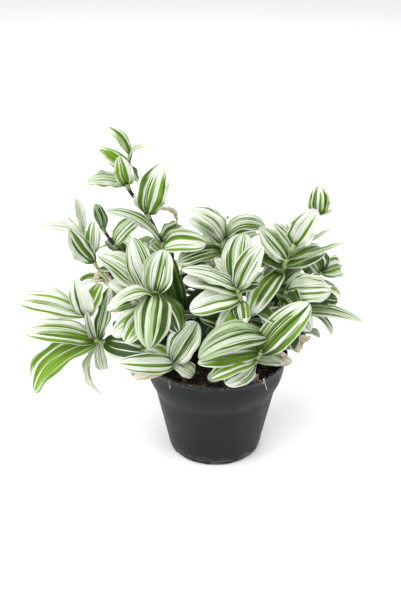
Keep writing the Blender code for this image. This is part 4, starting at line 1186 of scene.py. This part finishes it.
# The far left shoot: it hangs out over the rim, then turns up. Its long leaves fan
# out to the left and two hang down.
grow("shoot_far_left", (
    (6.0, (-52, -10, 20), 20, 4, 0.2, (0, -0.8, 0.6), "edged"),
    (5.9, (-27, 15, 20), 7, 2, 0.3, (0, -0.7, 0.7), "pale"),
    (6.0, (-4, -3, 33), 19, 2, 0.2, (0, -1, 0.2), "light"),
    (5.8, (13, 7, 28), 15, 2, 0.2, (-0.2, -1, 0.2), "bright"),
    (4.2, (-4, -5, 27), 8, 1, 0.4, (0, -1, 0.2), "grey"),
    (4.0, (11, -4, 50), 18, -2, 0.3, (-0.7, -0.7, 0.2), "shaded"),
    (4.1, (-49, -20, 26), 20, 6, 0.1, (0, -0.8, 0.6), "heart"),
    (4.0, (-55, -36, -26), 26, 11, 0.15, (-0.1, -0.6, 0.8), "bright"),
    (4.05, (-46, -10, -14), 13, 5, 0.2, (0, -0.7, 0.7), "striped"),
    (3.9, (-1, -20, -38), 12, 8, 0.3, (-0.9, -0.4, 0.2), "pale"),
    (3.95, (3, -12, -24), 11, 2, 0.3, (0, -1, 0.2), "pale"),
    (3.75, (40, -22, 3), 21, 5, 0.1, (0, -0.8, 0.6), "dark"),
))


# The short shoot at the front left of the rim: white-rimmed leaves that lie on the
# edge of the pot.
grow("shoot_front_left", (
    (3.0, (19, -4, 37), 24, 3, 0.2, (-0.3, -0.9, 0.4), "pale"),
    (2.9, (-23, -12, 17), 18, 3, 0.1, (0, -0.8, 0.6), "bright"),
    (2.7, (-40, -10, 13), 17, 5, 0.1, (0, -0.8, 0.6), "light"),
    (2.5, (-34, -8, -8), 9, 5, 0.2, (-0.2, -0.8, 0.5), "dry"),
    (2.9, (16, -22, 0), 13, 9, 0.1, (0, -0.7, 0.7), "pale"),
))


# The front shoot: the longest leaves, arched over the soil to the left, and the
# biggest banded leaf to the right.
grow("shoot_front", (
    (4.0, (-58, -22, -4), 24, 18, -0.1, (0, -0.75, 0.7), "silver"),
    (3.3, (36, -4, 46), 26, 5, 0.1, (0.2, -0.85, 0.5), "bold"),
    (3.0, (-38, -20, -3), 19, 12, -0.3, (0, -0.7, 0.8), "bright"),
    (2.9, (-24, -21, -8), 17, 4, -0.2, (0, -0.9, 0.4), "striped"),
    (2.95, (22, 3, -4), 8, 3, 0.2, (0, -0.7, 0.7), "pale"),
    (3.4, (-48, -16, 0), 15, 4, 0.1, (0, -0.9, 0.5), "green"),
    (2.8, (-38, -20, -6), 12, 6, 0.2, (0, -0.8, 0.6), "white"),
    (2.9, (-32, -14, 6), 12, 4, 0.1, (0, -0.8, 0.6), "green"),
))


# The centre shoot: a rosette of white-striped leaves that face the front, with one
# white lobe folded over the leaves below.
grow("shoot_centre", (
    (5.0, (-42, -10, 21), 14, 3, 0.2, (0.1, -0.6, 0.8), "striped"),
    (4.8, (-42, -18, 20), 17, 3, 0.1, (0.1, -0.75, 0.65), "bold"),
    (5.0, (4, 8, 44), 24, 4, 0.2, (-0.3, -1, 0.2), "pale"),
    (5.0, (16, -4, 37), 20, 2, 0.3, (-0.3, -1, 0.2), "pale"),
    (4.9, (-17, 3, 28), 12, 3, 0.2, (0.3, -0.8, 0.4), "white"),
    (4.9, (16, -10, 10), 9, 2, 0.3, (0, -0.6, 0.8), "rimmed"),
    (4.6, (-38, -24, 1), 20, 5, 0.1, (0, -0.8, 0.6), "light"),
    (4.2, (-17, -26, -12), 22, 5, 0.1, (-0.2, -0.9, 0.4), "bright"),
    (4.4, (2, -18, -16), 13, 4, 0.2, (0, -0.9, 0.4), "green"),
    (3.8, (-34, -10, 4), 17, 3, 0.2, (0, -0.9, 0.4), "dark"),
))


# The shoot behind the middle: narrow leaves that stand up over the crown, two of them
# dull and pinkish underneath.
grow("shoot_back_mid", (
    (4.8, (-28, -6, 30), 15, 8, 0.2, (0.3, -0.7, 0.6), "pale"),
    (4.9, (-13, 3, 26), 14, 3, 0.3, (0.3, -0.9, 0.2), "striped"),
    (4.4, (-27, 14, 16), 12, 3, 0.2, (0, -0.8, 0.6), "striped"),
    (4.6, (-14, 9, 13), 12, 2, 0.2, (0.2, 0.8, -0.5), "dry"),
    (5.0, (9, 5, 18), 4, 1, 0.4, (0, -1, 0.2), "dry"),
    (4.9, (25, -8, 14), 15, 12, 0.2, (0, -0.6, 0.8), "grey"),
    (4.5, (30, 12, 8), 16, 5, 0.2, (0, -0.7, 0.7), "green"),
    (4.0, (-35, -15, -3), 17, 4, 0.1, (0, -0.7, 0.7), "shaded"),
    (3.9, (-34, -19, -9), 9, 3, 0.2, (0, -0.8, 0.6), "dark"),
))


# The right shoot: it leans out and up to a rounded leaf, with white blades seen edge
# on and the long banded leaf that hangs in the middle.
grow("shoot_right", (
    (4.8, (15, -8, 32), 22, 2, 0.2, (-0.3, -1, 0.3), "light"),
    (7.0, (-1, -5, 25), 18, 1, 0.3, (-0.1, -1, 0.1), "bold"),
    (6.9, (12, 1, 4), 5, 1, 0.4, (0, -0.8, 0.6), "white"),
    (4.7, (30, -10, 23), 13, -3, 0.2, (-0.55, 0.35, 0.75), "white"),
    (4.1, (42, -10, 22), 13, -4, 0.2, (-0.5, 0.35, 0.8), "pale"),
    (3.9, (34, 10, 12), 18, 4, 0.2, (0, -0.8, 0.6), "green"),
    (4.7, (-10, 4, 19), 10, 2, 0.3, (0.2, -1, 0.3), "striped"),
    (4.8, (-3, 8, 18), 12, 2, 0.3, (0.2, -1, 0.3), "striped"),
    (4.1, (-22, -12, 32), 18, 2, 0.2, (0.2, -1, 0.3), "striped"),
    (3.9, (-21, -18, 20), 16, 2, 0.2, (0.2, -0.9, 0.5), "dark"),
    (3.7, (-26, -36, -20), 22, 6, 0.1, (-0.2, -0.8, 0.5), "bold"),
))


# The shoot at the right back: small dark leaves with white edges, close together at
# its end.
grow("shoot_right_back", (
    (4.0, (-14, -8, 21), 15, 2, 0.2, (0.3, -1, 0.2), "rimmed"),
    (4.0, (1, -6, 22), 12, 2, 0.3, (0, -1, 0.2), "rimmed"),
    (3.95, (21, -14, 14), 19, 3, 0.1, (-0.1, -0.9, 0.5), "striped"),
    (3.8, (22, 10, 6), 15, 4, 0.2, (0, -0.5, 0.9), "green"),
))


# The low right shoot: a white domed leaf over folded green ones, and a long thin
# leaf that points out to the right.
grow("shoot_right_low", (
    (2.9, (69, -4, -4), 12, 5, 0.2, (0, -0.6, 0.8), "striped"),
    (3.6, (20, -26, -15), 19, 5, 0.1, (0.3, -0.8, 0.5), "heart"),
    (4.0, (35, -6, 5), 24, 11, -0.2, (-0.1, -0.8, 0.6), "white"),
    (3.9, (18, 2, 16), 13, 2, 0.2, (-0.4, -0.8, 0.4), "grey"),
    (3.1, (24, -14, 18), 16, 0, 0.4, (-0.4, -0.9, 0.2), "dark"),
    (3.7, (44, 2, -4), 18, 4, 0.1, (0, -0.7, 0.7), "dark"),
    (2.8, (-11, -24, 12), 19, 3, 0.2, (-0.2, -0.9, 0.4), "grey"),
    (2.4, (-12, -20, 14), 14, 2, 0.2, (0, -1, 0.2), "green"),
))


# The shoots at the back and the sides: the same plant, seen less, so one rule sets
# their leaves by turns on either side of the stem, shorter towards its end.
BACK_SEED = 23
BACK_LOOK_SEED = 24
BACK_BLADE = 44.0
BACK_SHORTENING = 0.35
BACK_BLADE_WIDTH = 0.46
BACK_FIRST = 1.6
BACK_SPAN = 2.4
BACK_OUT = 0.55
BACK_OUT_GAIN = 0.35
BACK_ASIDE = 0.95
BACK_ASIDE_LOSS = 0.45
BACK_RISES = (0.05, 0.55)
BACK_TILT = 0.35
BACK_FACES = (-0.25, 0.25)
BACK_ARCHES = (3.0, 7.0)
BACK_FOLDS = (0.1, 0.35)
BLADE_VARIETY = (0.85, 1.15)
BACK_LOOKS = ("striped", "bold", "heart", "striped", "pale", "green", "edged", "rimmed")


def back_rows(lean, count, draw, look_draw):
    """Rows of blades by turns to either side of the stem, each aimed outwards and a little up.

    Up the stem they grow shorter and point more outwards and less to their side, each
    by a straight line of the share of the way.
    """
    out = lean_out(lean)
    side = np.cross((0.0, 0.0, 1.0), out)
    rows = []
    for index in range(count):
        share = index / (count - 1)
        turn = -1 if index % 2 else 1
        length = BACK_BLADE * (1.0 - BACK_SHORTENING * share) * draw.uniform(*BLADE_VARIETY)
        aside = BACK_ASIDE - BACK_ASIDE_LOSS * share
        level = out * (BACK_OUT + BACK_OUT_GAIN * share) + side * turn * aside
        aim = unit(level + np.array((0.0, 0.0, draw.uniform(*BACK_RISES))))
        face = np.array((0.0, 0.0, 1.0)) + BACK_TILT * out + draw.uniform(*BACK_FACES, 3)
        rows.append((BACK_FIRST + BACK_SPAN * share, tuple(aim * length), BACK_BLADE_WIDTH * length,
                     draw.uniform(*BACK_ARCHES), draw.uniform(*BACK_FOLDS), tuple(face),
                     BACK_LOOKS[look_draw.integers(len(BACK_LOOKS))]))
    return rows


back_draw = np.random.default_rng(BACK_SEED)
back_look_draw = np.random.default_rng(BACK_LOOK_SEED)
back_growth = {name: back_rows(lean, count, back_draw, back_look_draw)
               for name, (_, _, lean, _, _, count) in BACK_STEMS.items()}
for name, rows in back_growth.items():
    grow(name, rows)


# The foot leaves: short ones round the foot of the stems, which shade the soil. Each
# is turned on round its stem from the one below it. A shoot's row gives how many it
# has, and the places of the first and the last along its stem's route.
LOW_BLADES = {
    "shoot_tall": (4, 1.6, 3.3),
    "shoot_left_high": (3, 1.6, 3.2),
    "shoot_left_mid": (3, 1.7, 3.4),
    "shoot_left_front": (2, 1.6, 2.6),
    "shoot_far_left": (3, 1.6, 3.2),
    "shoot_centre": (3, 1.5, 2.8),
    "shoot_back_mid": (4, 1.6, 3.4),
    "shoot_right": (4, 1.6, 3.2),
    "shoot_right_back": (2, 1.8, 3.0),
    "shoot_right_low": (2, 1.6, 2.6),
}
LOW_SEED = 5
FOOT_LEAF_SEED = 200
LOW_BLADE = 36.0
LOW_BLADE_WIDTH = 0.50
LOW_TURN = 2.4
LOW_RISES = (0.2, 0.6)
LOW_FACING = (0.0, -0.3, 1.0)
LOW_FACES = (-0.2, 0.2)
LOW_ARCHES = (2.0, 6.0)
LOW_FOLDS = (0.1, 0.3)
# The dark looks paint shade on some of the foot leaves, under the crown
LOW_LOOKS = ("green", "dark", "rimmed", "green", "dark", "striped")


def low_rows(count, first, last, draw):
    """Rows of blades round a stem's foot, each turned on from the one below it."""
    rows = []
    turn = draw.uniform(0.0, 2.0 * math.pi)
    for index in range(count):
        turn += LOW_TURN
        length = LOW_BLADE * draw.uniform(*BLADE_VARIETY)
        aim = unit(np.array((math.cos(turn), math.sin(turn), draw.uniform(*LOW_RISES))))
        face = np.array(LOW_FACING) + draw.uniform(*LOW_FACES, 3)
        number = first + (last - first) * index / max(count - 1, 1)
        rows.append((number, tuple(aim * length), LOW_BLADE_WIDTH * length,
                     draw.uniform(*LOW_ARCHES), draw.uniform(*LOW_FOLDS), tuple(face)))
    return rows


low_draw = np.random.default_rng(LOW_SEED)
low_growth = {name: low_rows(*place, low_draw) for name, place in LOW_BLADES.items()}
for at, (name, rows) in enumerate(low_growth.items()):
    looks = [LOW_LOOKS[(at + index) % len(LOW_LOOKS)] for index in range(len(rows))]
    leaves_piece(name + "_foot_leaves", (name,), placed_blades(name, rows), looks,
                 np.random.default_rng(FOOT_LEAF_SEED + at))


# The bud leaves: small ones from the buds low on the stems, where little light comes
# in, painted in shade with the dark look. They are too small for the plain solids,
# which hold the larger leaves.
BUD_SEED = 17
BUD_LEAF_SEED = 300
BUD_COUNT = 4
BUD_FIRST = 1.5
BUD_LAST = 3.5
BUD_SCALE = 0.74
BUDLESS = ("shoot_front", "shoot_front_left")
bud_draw = np.random.default_rng(BUD_SEED)
for at, name in enumerate(name for name in STEMS if name not in BUDLESS):
    full_rows = low_rows(BUD_COUNT, BUD_FIRST, BUD_LAST, bud_draw)
    rows = [(number, tuple(np.multiply(reach, BUD_SCALE)), width * BUD_SCALE, arch, fold, facing)
            for number, reach, width, arch, fold, facing in full_rows]
    leaves_piece(name + "_bud_leaves", (name,), placed_blades(name, rows), ["dark"] * BUD_COUNT,
                 np.random.default_rng(BUD_LEAF_SEED + at))


# The withered scraps: papery leaves and sheaths that died low on the stems and hang
# there, pale straw with brown veins, and a few dead roots that lie over the rim. Each
# row gives a scrap's root, its tip from there, its width, arch, fold and facing.
WITHERED_SEED = 31
WITHERED = (
    ((41, -13, 98), (20, -18, -3), 14, 4, 0.5, (0.2, -1.0, 0.4)),
    ((42, -14, 104), (28, -12, 3), 13, 4, 0.6, (0.2, -1.0, 0.5)),
    ((43, -15, 108), (34, -6, 5), 11, 3, 0.4, (0.0, -1.0, 0.3)),
    ((46, -18, 118), (22, -8, -16), 9, 2, 0.5, (0.3, -1.0, 0.2)),
    ((-58, -17, 104), (-4, -14, -21), 12, 3, 0.5, (0.0, -1.0, 0.2)),
    ((-64, -18, 107), (-2, -13, -26), 9, 3, 0.6, (-0.3, -1.0, 0.2)),
    ((-60, -3, 145), (-10, -17, 6), 13, 3, 0.4, (0.2, -1.0, 0.4)),
    ((-56, -2, 138), (-13, -15, 4), 11, 3, 0.5, (0.0, -0.9, 0.5)),
    ((28, -40, 79.5), (5, -3, 12), 8, 1, 0.9, (0.0, -1.0, 0.2)),
    ((24, -43, 79.5), (-2, -3, 7), 6, 1, 0.7, (-0.3, -1.0, 0.2)),
)
ROOT_RADIUS = 0.28
ROOT_STEPS = 6
ROOT_SIDES = 6
ROOT_GRAIN = 1300.0
DEAD_ROOTS = (
    ((36, -38, 80), (37, -46, 85), (37.5, -47.6, 90.7), (38.4, -49.5, 88), (39.5, -48.6, 83),
     (40.6, -47.4, 80)),
    ((33, -42, 80), (33.5, -48.0, 87), (33.8, -49.4, 90.6), (34.0, -51.6, 88.5), (32.6, -51.4, 86)),
    ((-32, -40, 80), (-35, -46, 86), (-36.5, -47.3, 90.5), (-37.2, -49.8, 88), (-36.2, -49.6, 84.5),
     (-37.0, -48.8, 82)),
    ((-44, -34, 98), (-49, -38, 95), (-53, -40, 90), (-55, -40, 86)),
)


def dead_roots():
    """Points and faces of the dead roots: thin tubes along smooth curves, half as thick at the end."""
    points, faces, count = [], [], 0
    for route in DEAD_ROOTS:
        places = rounded_route(route, ROOT_STEPS)[0]
        radius = np.linspace(ROOT_RADIUS, ROOT_RADIUS / 2, len(places))
        corners, quads, ends = tube(places, radius, ROOT_SIDES)
        faces += [[corner + count for corner in face] for face in quads.tolist() + ends]
        points.append(corners)
        count += len(corners)
    return np.vstack(points), faces


def root_material():
    """Dead root: pale brown, darker in patches, rough."""
    material, tree, shader = new_material("dead root")
    fine, patches = grain(tree, own_place(tree), ROOT_GRAIN)
    tree.links.new(mixed(tree, patches, LEAF_STRAW, LEAF_BROWN), shader.inputs["Base Color"])
    tree.links.new(smooth_step(tree, fine, 0.3, 0.7, 0.7, 0.9), shader.inputs["Roughness"])
    return material


withered = [(np.array(root, dtype=float), np.add(root, reach).astype(float), width, arch, fold,
             np.array(facing)) for root, reach, width, arch, fold, facing in WITHERED]
leaves_piece("withered_scraps", (), withered, ["dry"] * len(WITHERED),
             np.random.default_rng(WITHERED_SEED))
root_points, root_faces = dead_roots()
stand_for(mesh_piece("dead_roots", root_points, root_faces, root_material()), "soil")


# The studio: a plain pale floor and soft light from the upper left, with the camera
# in front of the plant and a little above it.
FLOOR_PALE = (0.95, 0.95, 0.95, 1.0)
FLOOR_ROUGHNESS = 0.9
FLOOR_SIZE = 12.0
WORLD_STRENGTH = 0.83
CAMERA_PLACE = (-0.0123, -0.6957, 0.4840)
CAMERA_TARGET = (-0.0123, 0.0, 0.1356)
CAMERA_LENS = 57.5
CAMERA_SENSOR = 36.0

# Each soft light's place, the point that it faces, its size and its power
SOFTBOXES = {
    "key": ((-0.5, -0.6, 1.5), (0.0, 0.0, 0.12), 1.4, 23.0),
    "left": ((-1.5, -0.5, 0.7), (0.0, 0.0, 0.12), 0.9, 9.0),
    "fill": ((1.1, -0.8, 1.0), (0.0, 0.0, 0.12), 1.2, 5.0),
    "back": ((0.3, 1.2, 1.2), (0.0, 0.0, 0.15), 1.0, 9.0),
}


def aim_at(thing, place, target):
    """Put the thing in its place, with its -Z axis through the target."""
    thing.location = place
    way = np.array(target) - np.array(place)
    flat = math.hypot(way[0], way[1])
    thing.rotation_euler = (math.atan2(flat, -way[2]), 0.0, math.atan2(-way[0], way[1]))


def softbox(name, place, target, size, power):
    """A square soft light that faces the target."""
    light = bpy.data.lights.new(name, "AREA")
    light.size = size
    light.energy = power
    lamp = bpy.data.objects.new(name, light)
    bpy.context.scene.collection.objects.link(lamp)
    aim_at(lamp, place, target)


floor_material, _, floor_shader = new_material("pale floor")
floor_shader.inputs["Base Color"].default_value = FLOOR_PALE
floor_shader.inputs["Roughness"].default_value = FLOOR_ROUGHNESS
bpy.ops.mesh.primitive_plane_add(size=FLOOR_SIZE, location=(0.0, 0.0, 0.0))
floor = bpy.context.object
floor.name = "floor"
floor.data.materials.append(floor_material)

for name, (place, target, size, power) in SOFTBOXES.items():
    softbox(name, place, target, size, power)
world = bpy.data.worlds.new("studio")
world.use_nodes = True
world.node_tree.nodes["Background"].inputs["Color"].default_value = (1.0, 1.0, 1.0, 1.0)
world.node_tree.nodes["Background"].inputs["Strength"].default_value = WORLD_STRENGTH
bpy.context.scene.world = world
bpy.context.scene.view_settings.view_transform = "Standard"

camera_data = bpy.data.cameras.new("camera")
camera_data.lens = CAMERA_LENS
camera_data.sensor_width = CAMERA_SENSOR
camera = bpy.data.objects.new("camera", camera_data)
bpy.context.scene.collection.objects.link(camera)
aim_at(camera, CAMERA_PLACE, CAMERA_TARGET)
bpy.context.scene.camera = camera
